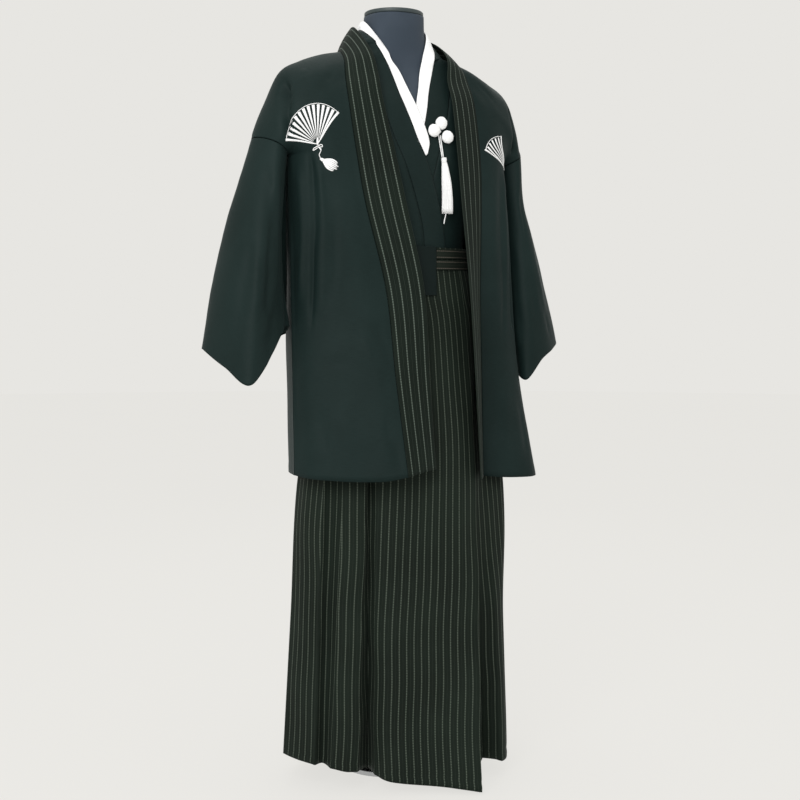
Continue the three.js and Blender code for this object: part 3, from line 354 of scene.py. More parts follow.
def through(points, t, breaks=()):
    """A smooth curve through points at each t from 0 to 1, with a corner at each index in breaks."""
    points = np.asarray(points, float)
    last = len(points) - 1
    at = np.clip(np.asarray(t, float), 0, 1) * last
    i = np.minimum(last - 1, np.floor(at).astype(int))
    f = (at - i).reshape((-1,) + (1,) * (points.ndim - 1))

    def slopes(side):
        out = []
        for k in range(last + 1):
            corner = k in (0, last) or k in breaks
            a = k if corner and side > 0 else max(0, k - 1)
            b = k if corner and side < 0 else min(last, k + 1)
            out.append((points[b] - points[a]) / max(1, b - a))
        return np.array(out)

    return hermite(f, points[i], slopes(1)[i], points[i + 1], slopes(-1)[i + 1])


def rounded(xs, ys, x):
    """A smooth reading of a table: a cubic through its rows, without overshoot."""
    xs, ys = np.asarray(xs, float), np.asarray(ys, float)
    h = np.diff(xs)
    d = np.diff(ys) / h
    m = np.zeros_like(ys)
    m[0], m[-1] = d[0], d[-1]
    same = d[:-1] * d[1:] > 0
    w1, w2 = 2 * h[1:] + h[:-1], h[1:] + 2 * h[:-1]
    with np.errstate(divide="ignore", invalid="ignore"):
        inner = (w1 + w2) / (w1 / d[:-1] + w2 / d[1:])
    m[1:-1] = np.where(same, inner, 0)
    x = np.clip(x, xs[0], xs[-1])
    k = np.clip(np.searchsorted(xs, x) - 1, 0, len(h) - 1)
    t = (x - xs[k]) / h[k]
    return hermite(t, ys[k], h[k] * m[k], ys[k + 1], h[k] * m[k + 1])


# ------------------------------------------------------------------ the figure
HEIGHTS, HALF_WIDTHS, HALF_DEPTHS, CENTRES = np.array(FIGURE, float).T
# The power of the rounded ellipse that each section of the form follows.
ROUND = 2.3


def figure_skin(turn, z):
    """The form's surface at a turn in degrees, 0 at the front and 90 at +X, and a height."""
    turn, z = np.broadcast_arrays(np.asarray(turn, float), np.asarray(z, float))
    half = rounded(HEIGHTS, HALF_WIDTHS, z)
    depth = rounded(HEIGHTS, HALF_DEPTHS, z)
    centre = rounded(HEIGHTS, CENTRES, z)
    s, c = np.sin(np.radians(turn)), np.cos(np.radians(turn))
    p = 2 / ROUND
    x = half * np.sign(s) * np.abs(s) ** p
    y = centre - depth * np.sign(c) * np.abs(c) ** p
    return np.stack([x, y, z], -1)


def figure_point(turn, z, out):
    """A place that lies out from the form's surface."""
    turn, z = np.broadcast_arrays(np.asarray(turn, float), np.asarray(z, float))
    around = figure_skin(turn + 3, z) - figure_skin(turn - 3, z)
    up = figure_skin(turn, z + 9) - figure_skin(turn, z - 9)
    normal = unit(np.cross(around, up))
    return figure_skin(turn, z) + normal * np.asarray(out, float)[..., None]


def turn_at(x, z):
    share = np.minimum(1, np.abs(x) / rounded(HEIGHTS, HALF_WIDTHS, z))
    return np.sign(x) * np.degrees(np.arcsin(share ** (ROUND / 2)))


def front_point(x, z, out):
    return figure_point(turn_at(x, z), z, out)


# ------------------------------------------------------------------ meshes
def in_metres(points):
    points = np.array(points, float)
    points[..., 2] -= FLOOR
    return points / 1000


def new_object(name, verts, faces, material, uv=None, node=None):
    mesh = bpy.data.meshes.new(name)
    mesh.from_pydata(np.asarray(verts).tolist(), [], [tuple(f) for f in faces])
    if uv is not None:
        layer = mesh.uv_layers.new(name="cloth")
        layer.data.foreach_set("uv", np.asarray(uv, np.float32).ravel())
    mesh.polygons.foreach_set("use_smooth", [True] * len(mesh.polygons))
    mesh.materials.append(material)
    mesh.update()
    obj = bpy.data.objects.new(name, mesh)
    bpy.context.collection.objects.link(obj)
    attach(obj, "root")
    if node:
        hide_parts(node)
    return obj


def ring_faces(rows, around, start=0):
    """Quads between rings of points, then a cap on the first ring and one on the last."""
    faces = []
    for j in range(rows - 1):
        low = start + j * around
        high = low + around
        for i in range(around):
            k = (i + 1) % around
            faces.append((low + i, low + k, high + k, high + i))
    last = start + (rows - 1) * around
    faces.append(tuple(range(start, start + around))[::-1])
    faces.append(tuple(range(last, last + around)))
    return faces


def closed(grid):
    """A ring grid with its first column once more at the end."""
    return np.concatenate([grid, grid[:, :1]], 1)


def normals_of(grid, ring=False):
    across = np.roll(grid, -1, 1) - np.roll(grid, 1, 1) if ring else np.gradient(grid, axis=1)
    along = np.gradient(grid, axis=0)
    return unit(np.cross(across, along))


def lengths(grid, axis):
    """Distances along a grid's rows or columns from its start, in millimetres."""
    step = np.linalg.norm(np.diff(grid, axis=axis), axis=-1)
    zero = np.zeros_like(np.take(step, [0], axis=axis))
    return np.concatenate([zero, np.cumsum(step, axis=axis)], axis=axis)


def cloth(name, grid, material, node, thickness=CLOTH, ring=False, u=None, v=None, zones=None):
    """A thin shell with two faces and a rolled rim on a grid of points. u and v are the cloth's own
    coordinates in millimetres; zones gives each column of cells its own u at its two sides."""
    normals = normals_of(grid, ring)
    nv, nu = grid.shape[:2]
    u = lengths(grid, 1) if u is None else u
    v = closed(lengths(grid, 0) if v is None else v)
    cols = nu if ring else nu - 1
    if zones is None:
        left = u[:, :cols]
        right = np.roll(u, -1, 1)[:, :cols].copy()
        if ring:
            right[:, -1] = 2 * u[:, -1] - u[:, -2]
    else:
        left, right = zones
    outer, inner = grid + normals * thickness / 2, grid - normals * thickness / 2
    verts = in_metres(np.concatenate([outer.reshape(-1, 3), inner.reshape(-1, 3)]))
    count = nv * nu
    j, i = np.meshgrid(np.arange(nv - 1), np.arange(cols), indexing="ij")
    j, i = j.ravel(), i.ravel()
    k = (i + 1) % nu
    a, b, c, d = j * nu + i, j * nu + k, (j + 1) * nu + k, (j + 1) * nu + i

    def corner(side, down, over):
        return np.stack([side[j + down, i], v[j + down, i + over]], -1)

    ua, ub = corner(left, 0, 0), corner(right, 0, 1)
    uc, ud = corner(right, 1, 1), corner(left, 1, 0)
    faces = [np.stack([a, b, c, d], -1), count + np.stack([a, d, c, b], -1)]
    uvs = [np.stack([ua, ub, uc, ud], 1), np.stack([ua, ud, uc, ub], 1)]

    def rim(p, q, up, uq):
        faces.append(np.stack([q, count + q, count + p, p], -1))
        uvs.append(np.stack([uq, uq, up, up], 1))

    low, top = j == 0, j == nv - 2
    rim(b[low], a[low], ub[low], ua[low])
    rim(d[top], c[top], ud[top], uc[top])
    if not ring:
        first, final = i == 0, i == cols - 1
        rim(a[first], d[first], ua[first], ud[first])
        rim(c[final], b[final], uc[final], ub[final])
    uv = np.concatenate(uvs) / 1000
    return new_object(name, verts, np.concatenate(faces), material, uv, node)


def on_panel(grid, normals, x, z, face):
    """The point of a grid at a place seen square from the front (face -1) or the back (face 1)."""
    off = (grid[..., 0] - x) ** 2 + (grid[..., 2] - z) ** 2 + np.where(normals[..., 1] * face > -0.05, 0, 1e6)
    return grid.reshape(-1, 3)[np.argmin(off)]


def crease(grid, normals, places, depth, width, face=-1, taper=0.25, steep=0):
    """A soft trough (depth below 0) or ridge along a curve through places, each an x and a z.
    With steep 1 or -1 the side of it toward +X or -X is the steeper."""
    path = through(places, np.linspace(0, 1, 15))
    route = np.array([on_panel(grid, normals, x, z, face) for x, z in path])
    nearest = np.full(grid.shape[:-1], 1e9)
    share = np.zeros(grid.shape[:-1])
    right = np.zeros(grid.shape[:-1])
    for k in range(len(route) - 1):
        ab = route[k + 1] - route[k]
        t = np.clip(((grid - route[k]) @ ab) / max(ab @ ab, 1e-6), 0, 1)
        way = grid - route[k] - t[..., None] * ab
        off = np.linalg.norm(way, axis=-1)
        closer = off < nearest
        right = np.where(closer, way[..., 0], right)
        nearest = np.where(closer, off, nearest)
        share = np.where(closer, (k + t) / (len(route) - 1), share)
    ends = smooth(np.minimum((share + 0.02) / taper, (1.02 - share) / taper))
    uneven_depth = 0.86 + 0.14 * np.sin(share * 9 + route[0][0])
    uneven_width = 1 + 0.2 * np.sin(share * 6 + route[0][2])
    wide = width * np.where(right * steep > 0, 0.45, 1.0) * uneven_width
    return depth * uneven_depth * bell(nearest, wide) * ends


def creased(grid, normals, rows):
    """All the creases in rows, each a row of what crease takes."""
    return sum(crease(grid, normals, *row) for row in rows)


def tree_of(grid):
    """A search tree on a grid of points."""
    nv, nu = grid.shape[:2]
    j, i = np.meshgrid(np.arange(nv - 1), np.arange(nu - 1), indexing="ij")
    a = (j * nu + i).ravel()
    quads = np.stack([a, a + 1, a + nu + 1, a + nu], -1)
    return BVHTree.FromPolygons(grid.reshape(-1, 3).tolist(), quads.tolist())


def uneven(grid, seed, size, height):
    """Slow, uneven rises of a cloth that was never pressed flat."""
    rng = np.random.default_rng(seed)
    out = np.zeros(grid.shape[:-1])
    for _ in range(7):
        way = rng.normal(size=3)
        way[2] *= 0.55
        pace = 2 * math.pi / (size * rng.uniform(0.6, 1.7))
        out += np.sin(grid @ (way / np.linalg.norm(way)) * pace + rng.uniform(0, 6.3))
    return out * height / 3


# ------------------------------------------------------------------ materials
# The weave's threads in metres, the strength of the fainter stripes and the background's colour.
THREAD_PITCH = 0.00055
FAINT = 0.3
BACKDROP = (0.80, 0.79, 0.76, 1.0)


class Nodes:
    """A material's node tree, built a step at a time."""

    def __init__(self, name):
        self.mat = bpy.data.materials.new(name)
        self.mat.use_nodes = True
        self.tree = self.mat.node_tree

    def fill(self, node, values):
        """Gives inputs a fixed value or a link; one that is None stays as it is."""
        for key, value in values.items():
            if isinstance(value, (int, float, tuple)):
                node.inputs[key].default_value = value
            elif value is not None:
                self.tree.links.new(value, node.inputs[key])

    def add(self, kind, values=None, **settings):
        node = self.tree.nodes.new(kind)
        for key, value in settings.items():
            setattr(node, key, value)
        self.fill(node, values or {})
        return node

    def math(self, operation, a, b=0.0):
        return self.add("ShaderNodeMath", {0: a, 1: b}, operation=operation).outputs[0]

    def cloth_uv(self):
        uv = self.add("ShaderNodeUVMap", uv_map="cloth").outputs[0]
        parts = self.add("ShaderNodeSeparateXYZ", {0: uv})
        return uv, parts.outputs[0], parts.outputs[1]

    def noise(self, vector, scale, detail, rough):
        """Noise of one scale, or of a scale of its own along each axis."""
        if isinstance(scale, tuple):
            vector = self.add("ShaderNodeMapping", {"Vector": vector, "Scale": scale}).outputs[0]
            scale = 1.0
        values = {"Vector": vector, "Scale": scale, "Detail": detail, "Roughness": rough}
        return self.add("ShaderNodeTexNoise", values).outputs["Fac"]

    def place(self):
        return self.add("ShaderNodeTexCoord").outputs["Object"]

    def blend(self, factor, a, b):
        values = {"Factor": factor, "A": a, "B": b}
        return self.add("ShaderNodeMix", values, data_type="RGBA").outputs["Result"]

    def span(self, value, low, high, to_low=0.0, to_high=1.0):
        values = {"Value": value, "From Min": low, "From Max": high, "To Min": to_low, "To Max": to_high}
        node = self.add("ShaderNodeMapRange", values, interpolation_type="SMOOTHSTEP")
        return node.outputs["Result"]

    def bump(self, height, distance, strength, after=None):
        values = {"Height": height, "Distance": distance, "Strength": strength, "Normal": after}
        return self.add("ShaderNodeBump", values).outputs["Normal"]

    def line(self, x, period, phase, width, soft=0.3):
        """1 on lines of a width that repeat each period along x, all in metres."""
        share = self.math("DIVIDE", self.math("SUBTRACT", x, phase - period / 2), period)
        off = self.math("ABSOLUTE", self.math("SUBTRACT", self.math("FRACT", share), 0.5))
        half = width / 2 / period
        return self.span(off, half * (1 - soft), half * (1 + soft), 1.0, 0.0)

    def finish(self, colour, rough, normal=None, **fixed):
        values = {"Base Color": colour, "Roughness": rough, "Normal": normal}
        values.update({key.replace("_", " "): value for key, value in fixed.items()})
        self.fill(self.tree.nodes["Principled BSDF"], values)
        return self.mat


def rgba(colour, share=1.0):
    return tuple(share * c for c in colour) + (1.0,)


def weave(n, u, v):
    """Warp and weft crossings as a height."""

    def wave(along):
        return n.math("SINE", n.math("MULTIPLY", along, 2 * math.pi / THREAD_PITCH))

    return n.math("MULTIPLY", wave(u), wave(v))


def black_silk(name, tone=1.0):
    n = Nodes(name)
    uv, u, v = n.cloth_uv()
    broad = n.noise(n.place(), 5.0, 3.0, 0.55)
    slub = n.noise(uv, (60.0, 900.0, 1.0), 3.0, 0.6)
    fine = n.noise(uv, (900.0, 140.0, 1.0), 2.0, 0.6)
    dark = rgba((0.0056, 0.0128, 0.0118), tone)
    light = rgba((0.0096, 0.0198, 0.0186), tone)
    share = n.math("ADD", n.math("MULTIPLY", broad, 0.6), n.math("MULTIPLY", slub, 0.4))
    colour = n.blend(n.span(share, 0.32, 0.68), dark, light)
    rough = n.span(fine, 0.2, 0.8, 0.5, 0.66)
    threads = n.bump(weave(n, u, v), 0.00006, 0.35)
    normal = n.bump(slub, 0.00025, 0.35, threads)
    return n.finish(colour, rough, normal, Sheen_Weight=0.03, Sheen_Roughness=0.4,
                    Sheen_Tint=(0.62, 0.78, 0.76, 1.0), Specular_IOR_Level=0.09)


def striped_silk(name, period, phase, width, ground, pale, along=False):
    """A weave with a dashed pale stripe each period of u and fainter ones between, or of v with along."""
    n = Nodes(name)
    uv, u, v = n.cloth_uv()
    if along:
        u, v = v, u
    main = n.line(u, period, phase, width)
    half = n.line(u, period, phase + period / 2, width * 0.45)
    thin = n.line(u, period / 6, phase, 0.0007, 0.5)
    dash = n.line(v, 0.0050, 0.0, 0.0034, 0.5)
    wander = n.noise(uv, (500.0, 60.0, 1.0), 2.0, 0.6)
    grain = n.noise(uv, (700.0, 700.0, 1.0), 3.0, 0.7)
    speck = n.span(grain, 0.45, 0.75)
    broad = n.noise(n.place(), 6.0, 3.0, 0.6)
    base = n.blend(n.span(broad, 0.35, 0.65), rgba(ground, 0.8), rgba(ground, 1.2))
    soft = rgba(mix(a, b, 0.34) for a, b in zip(ground, pale))
    for pattern, strength in ((speck, 0.28), (thin, FAINT / 2), (half, FAINT)):
        base = n.blend(n.math("MULTIPLY", pattern, strength), base, soft)
    broken = n.math("MULTIPLY", n.span(dash, 0, 1, 0.3, 1.0), n.span(wander, 0.2, 0.6, 0.7, 1.0))
    colour = n.blend(n.math("MULTIPLY", main, broken), base, rgba(pale))
    rough = n.span(main, 0, 1, 0.72, 0.58)
    threads = n.bump(weave(n, u, v), 0.00006, 0.4)
    raised = n.bump(main, 0.00018, 0.8, threads)
    normal = n.bump(grain, 0.00012, 0.5, raised)
    return n.finish(colour, rough, normal, Sheen_Weight=0.02, Sheen_Roughness=0.45,
                    Sheen_Tint=(0.75, 0.82, 0.76, 1.0), Specular_IOR_Level=0.08)


def white_silk(name):
    n = Nodes(name)
    uv, u, v = n.cloth_uv()
    slub = n.noise(uv, (120.0, 1200.0, 1.0), 3.0, 0.6)
    colour = n.blend(slub, (0.8, 0.81, 0.82, 1.0), (0.93, 0.93, 0.93, 1.0))
    threads = n.bump(weave(n, u, v), 0.00005, 0.4)
    normal = n.bump(slub, 0.0002, 0.3, threads)
    return n.finish(colour, n.span(slub, 0, 1, 0.42, 0.55), normal, Sheen_Weight=0.2,
                    Sheen_Roughness=0.4, Specular_IOR_Level=0.4)


def white_thread(name, stretch=(3000.0, 200.0, 1.0)):
    n = Nodes(name)
    ply = n.noise(n.cloth_uv()[0], stretch, 2.0, 0.7)
    colour = n.blend(ply, (0.74, 0.75, 0.76, 1.0), (0.95, 0.95, 0.94, 1.0))
    normal = n.bump(ply, 0.0003, 0.7)
    return n.finish(colour, 0.5, normal, Sheen_Weight=0.35, Sheen_Roughness=0.35, Specular_IOR_Level=0.45)


def form_cover(name):
    n = Nodes(name)
    place = n.place()
    knit = n.noise(place, 900.0, 2.0, 0.6)
    broad = n.noise(place, 9.0, 3.0, 0.5)
    colour = n.blend(n.span(broad, 0.3, 0.7), (0.030, 0.042, 0.058, 1.0), (0.042, 0.056, 0.075, 1.0))
    return n.finish(colour, n.span(knit, 0.2, 0.8, 0.7, 0.85), n.bump(knit, 0.0003, 0.5),
                    Sheen_Weight=0.05, Sheen_Roughness=0.5, Specular_IOR_Level=0.2)


def cap_board(name):
    n = Nodes(name)
    grain = n.noise(n.place(), 160.0, 4.0, 0.6)
    colour = n.blend(grain, (0.018, 0.028, 0.030, 1.0), (0.036, 0.052, 0.054, 1.0))
    return n.finish(colour, n.span(grain, 0.2, 0.8, 0.4, 0.6), n.bump(grain, 0.0002, 0.3))


def brushed_metal(name):
    n = Nodes(name)
    place = n.place()
    brushed = n.noise(place, (260.0, 260.0, 12.0), 3.0, 0.6)
    broad = n.noise(place, 14.0, 2.0, 0.5)
    colour = n.blend(broad, (0.42, 0.43, 0.44, 1.0), (0.55, 0.56, 0.57, 1.0))
    return n.finish(colour, n.span(brushed, 0.2, 0.8, 0.26, 0.42), n.bump(brushed, 0.0001, 0.4), Metallic=1.0)


def plain_floor(name):
    n = Nodes(name)
    soft = n.noise(n.place(), 0.6, 2.0, 0.5)
    colour = n.blend(soft, (0.098, 0.097, 0.094, 1.0), (0.106, 0.105, 0.102, 1.0))
    return n.finish(colour, 0.9, Specular_IOR_Level=0.0, Emission_Color=BACKDROP, Emission_Strength=0.885)


GROUND = (0.0062, 0.0104, 0.0074)
PALE = (0.066, 0.082, 0.064)
BLACK = black_silk("black_silk")
INNER = black_silk("black_silk_under", 0.9)
# The sash end's silk is the black silk darkened to half tone: painted shade for the shadow the sash end hangs
# in.
TAIL_SILK_PAINTED_SHADE = black_silk("black_silk_tail_painted_shade", 0.5)
PLEATED = striped_silk("striped_hakama", 0.0146, 0.0, 0.0022, GROUND, PALE)
COLLAR_COLOURS = ((0.0042, 0.0082, 0.0056), (0.094, 0.118, 0.098))
EDGING = striped_silk("striped_collar", 0.01775, 0.0085, 0.0021, *COLLAR_COLOURS)
BINDING = striped_silk("striped_tie", 0.0125, 0.0035, 0.0016, GROUND, (0.085, 0.075, 0.062), along=True)
WHITE = white_silk("white_silk")
THREAD = white_thread("white_thread")
TUFT = white_thread("white_tuft", (2600.0, 2600.0, 1.0))
FORM = form_cover("form_cover")
CAP = cap_board("cap_board")
METAL = brushed_metal("brushed_steel")


# ------------------------------------------------------------------ the form and its stand
# The form's bottom edge is rolled: inset and height of its rows above FORM_BOTTOM.
FORM_ROLL = [(6.0, 0.0), (2.4, 1.2), (0.6, 3.4)]
# Turned profiles: rows of radius and height.
CAP_PROFILE = [
    (52, 1508.6), (57, 1508.8), (58.4, 1509.6), (58.9, 1511),
    (59, 1515), (58.7, 1516.2), (57.8, 1516.9), (54, 1517.2),
]
POLE_PROFILE = [(14.2, 36.6), (15, 37.4), (15, 200), (15, 500), (15, 860.6), (14.4, 861.4)]
BASE_PROFILE = [
    (92.5, -16), (94.2, -15.5), (95, -14.4), (95, -7.6), (94.2, -5.6), (92, -4.1), (60, -4),
    (25, -4), (24, -3.2), (23.6, -1.6), (21.6, 33), (21, 35.4), (19.4, 36), (16, 36),
]


def lathe(name, profile, material, node, centre, around=96):
    """A solid turned about an upright axis at centre."""
    angle = np.arange(around) * 2 * math.pi / around
    x, y = centre
    rows = [[(x + r * math.cos(a), y + r * math.sin(a), z) for a in angle] for r, z in profile]
    verts = in_metres(np.array(rows).reshape(-1, 3))
    new_object(name, verts, ring_faces(len(profile), around), material, None, node)


def build_form():
    z = np.concatenate([np.linspace(FORM_BOTTOM, 1340, 36), np.linspace(1346, FORM_TOP, 36)])
    turn = np.linspace(0, 360, 121)[:-1]
    grid = figure_skin(turn[None, :], z[:, None])
    normal = unit(figure_point(turn, FORM_BOTTOM, 1.0) - grid[0])
    rolled = [figure_skin(turn, FORM_BOTTOM + rise) - normal * inset for inset, rise in FORM_ROLL]
    grid = np.concatenate([rolled, grid[4:]])
    faces = ring_faces(*grid.shape[:2])
    new_object("form_body", in_metres(grid.reshape(-1, 3)), faces, FORM, None, "form_torso")
    lathe("form_cap", CAP_PROFILE, CAP, "form_neck_cap", (0, -3))
    lathe("stand_tube", POLE_PROFILE, METAL, "stand_pole", STAND_PLACE, 64)
    lathe("stand_foot", BASE_PROFILE, METAL, "stand_base", STAND_PLACE, 128)


# ------------------------------------------------------------------ the kimono
EDGE_HEIGHTS, EDGE_RIGHT, EDGE_LEFT = np.array(KIMONO_EDGE, float).T
# Where the right front starts to lie over the left one, and over what width it rises.
OVERLAP_FROM = -118
OVERLAP_RISE = 50
# The collar lifts by 1 mm between these heights.
COLLAR_LIFT = (1400, 1417)


def kimono_edge(z, side):
    places = EDGE_RIGHT if side == "right" else EDGE_LEFT

    def at(height):
        return rounded(EDGE_HEIGHTS, places, height)

    return (at(z - 14) + 2 * at(z) + at(z + 14)) / 4


def front_out(x, side):
    if side == "left":
        return np.full_like(x, UNDER_OUT)
    return mix(UNDER_OUT, UPPER_OUT, smooth((x - OVERLAP_FROM) / OVERLAP_RISE))


# Creases of the kimono: places (x and z) of a curve, height, width and, on the back, the side of the cloth.
KIMONO_FRONT_CREASES = {
    "right": [
        ([(-80, 1370), (-60, 1290), (-30, 1190)], 1.2, 9),
        ([(-120, 1330), (-75, 1100)], 1.4, 12),
    ],
    "left": [
        ([(84, 1350), (62, 1200)], 1.2, 9),
        ([(126, 1320), (96, 1100)], 1.3, 12),
        ([(50, 1180), (96, 1150)], 1.0, 7),
    ],
}
KIMONO_BACK_CREASES = [
    ([(-60, 1340), (-30, 1080)], 1.2, 10, 1),
    ([(70, 1320), (25, 1100)], 1.4, 11, 1),
]


def kimono_front(name, side):
    sign = SIGN[side]
    z = np.linspace(KIMONO_BOTTOM, KIMONO_TOP, 110)[:, None]
    u = np.linspace(0, 1, 46)[None, :]
    edge = kimono_edge(z, side) + sign * (COLLAR_WIDTH + 1)
    low = turn_at(edge, z)
    turn = mix(-89.8, low, u) if sign < 0 else mix(low, 89.8, u)
    x = figure_skin(turn, z + 0 * u)[..., 0]
    grid = figure_point(turn, z + 0 * u, front_out(x, side))
    normals = normals_of(grid)
    dent = creased(grid, normals, KIMONO_FRONT_CREASES[side]) + np.clip(uneven(grid, 3, 160, 0.5), -0.3, 0.6)
    grid = grid + normals * np.maximum(dent, -0.3)[..., None]
    piece = cloth(name + "_cloth", grid, INNER, name)


def kimono_back():
    z = np.linspace(KIMONO_BOTTOM, KIMONO_TOP, 70)[:, None]
    turn = np.linspace(90.2, 269.8, 62)[None, :]
    grid = figure_point(turn, z + 0 * turn, np.full((1, 1), UNDER_OUT))
    normals = normals_of(grid)
    dent = creased(grid, normals, KIMONO_BACK_CREASES)
    piece = cloth("kimono_back_cloth", grid + normals * dent[..., None], INNER, "kimono_back")


CHEST_HEIGHTS = [936, 960, 1004, 1049, 1083, 1143, 1180, 1217, 1255, 1281, 1315, 1350, 1372, 1393, 1406, 1417]


def chest_collar(z, u, side):
    """The collar on the chest at a height, u from 0 at its outer edge to 1 at the crossed edge."""
    x = kimono_edge(z, side) + SIGN[side] * COLLAR_WIDTH * (1 - u)
    lift = np.clip((z - COLLAR_LIFT[0]) / (COLLAR_LIFT[1] - COLLAR_LIFT[0]), 0, 1)
    return front_point(x, z, front_out(x, side) + lift)


def collar_band(rows, bulge, seated=None, nu=18, nv=420):
    """A band through rows of (inner, outer, seat), from its right end round the neck to its left end."""
    inner, outer = [np.array([r[k] for r in rows], float) for k in (0, 1)]
    seats = np.array([r[2] for r in rows], float)
    v = np.linspace(0, 1, nv)
    u = np.linspace(0, 1, nu)
    a, b = through(outer, v), through(inner, v)
    seat = np.interp(v * (len(rows) - 1), np.arange(len(rows)), seats)[:, None]
    free = a[:, None, :] + (b - a)[:, None, :] * u[None, :, None]
    swell = bulge * (1 - seat) * np.sin(math.pi * u)[None, :]
    reach = np.maximum(40, np.hypot(free[..., 0], free[..., 1]))
    grow = 1 + 0.6 * swell / reach
    free = np.stack([free[..., 0] * grow, free[..., 1] * grow, free[..., 2] + 0.8 * swell], -1)
    if seated is None:
        return free
    low = free.copy()
    for side, rows_of in (("right", v < 0.5), ("left", v >= 0.5)):
        low[rows_of] = seated(free[rows_of], np.broadcast_to(u, (rows_of.sum(), nu)), side)
    return mix(free, low, seat[..., None])


def band_widths(grid, width):
    """The distance across a band at each point of its grid."""
    return np.broadcast_to(np.linspace(0, width, grid.shape[1]), grid.shape[:2])


def kimono_collar():
    def chest(side):
        return [(chest_collar(z, 1, side), chest_collar(z, 0, side), 1) for z in CHEST_HEIGHTS]

    def seated(place, u, side):
        return chest_collar(place[..., 2], u, side)

    line = through(NECK_LINE, np.linspace(0, 1, 15))
    neck = [(p[:3], figure_point(p[3], KIMONO_TOP + 1, UNDER_OUT + LAYER), 0) for p in line]
    rows = chest("right") + neck + chest("left")[::-1]
    grid = collar_band(rows, 4.0, seated)
    u = band_widths(grid, COLLAR_WIDTH)
    piece = cloth("kimono_collar_band", grid, INNER, "kimono_collar", BAND, u=u)


def white_collar():
    def chest(rows):
        return [(front_point(*row[2:], UPPER_OUT), front_point(*row[:2], UPPER_OUT), 1) for row in rows]

    def seated(point, u, side):
        out = UPPER_OUT if side == "right" else UNDER_OUT
        return front_point(point[..., 0], point[..., 2], np.full(point.shape[:-1], out))

    neck = [(inner, outer, 0) for inner, outer in WHITE_NECK]
    rows = chest(WHITE_CHEST_RIGHT) + neck + chest(WHITE_CHEST_LEFT)
    grid = collar_band(rows, 1.5, seated, nu=14, nv=260)
    u = band_widths(grid, 30)
    piece = cloth("white_collar_band", grid, WHITE, "white_collar", BAND, u=u)


# ------------------------------------------------------------------ the haori
def toward(a, b, distance):
    a, b = np.array(a, float), np.array(b, float)
    return a + (b - a) / np.linalg.norm(b - a) * distance


def trimmed(rows):
    rows = np.array(rows, float)
    out = rows.copy()
    for i, row in enumerate(rows):
        armhole = UNDERARM[0] <= i <= UNDERARM[1]
        if i <= NECK_ROW:
            out[i, 0] = toward(row[0], row[1], HAORI_TRIM)
        out[i, -1] = toward(row[-1], row[-2], 0.3 if armhole else HAORI_TRIM)
    return out


def first_places(table):
    return [row[0] for row in table[:NECK_ROW]]


NECKLINE = np.array(first_places(HAORI_RIGHT) + [(0, 98, 1417)] + first_places(HAORI_LEFT)[::-1], float)


def patch(rows, u, v, breaks=()):
    rows = np.asarray(rows, float)
    across = through(rows.swapaxes(0, 1), u)
    return through(across.swapaxes(0, 1), v, breaks)


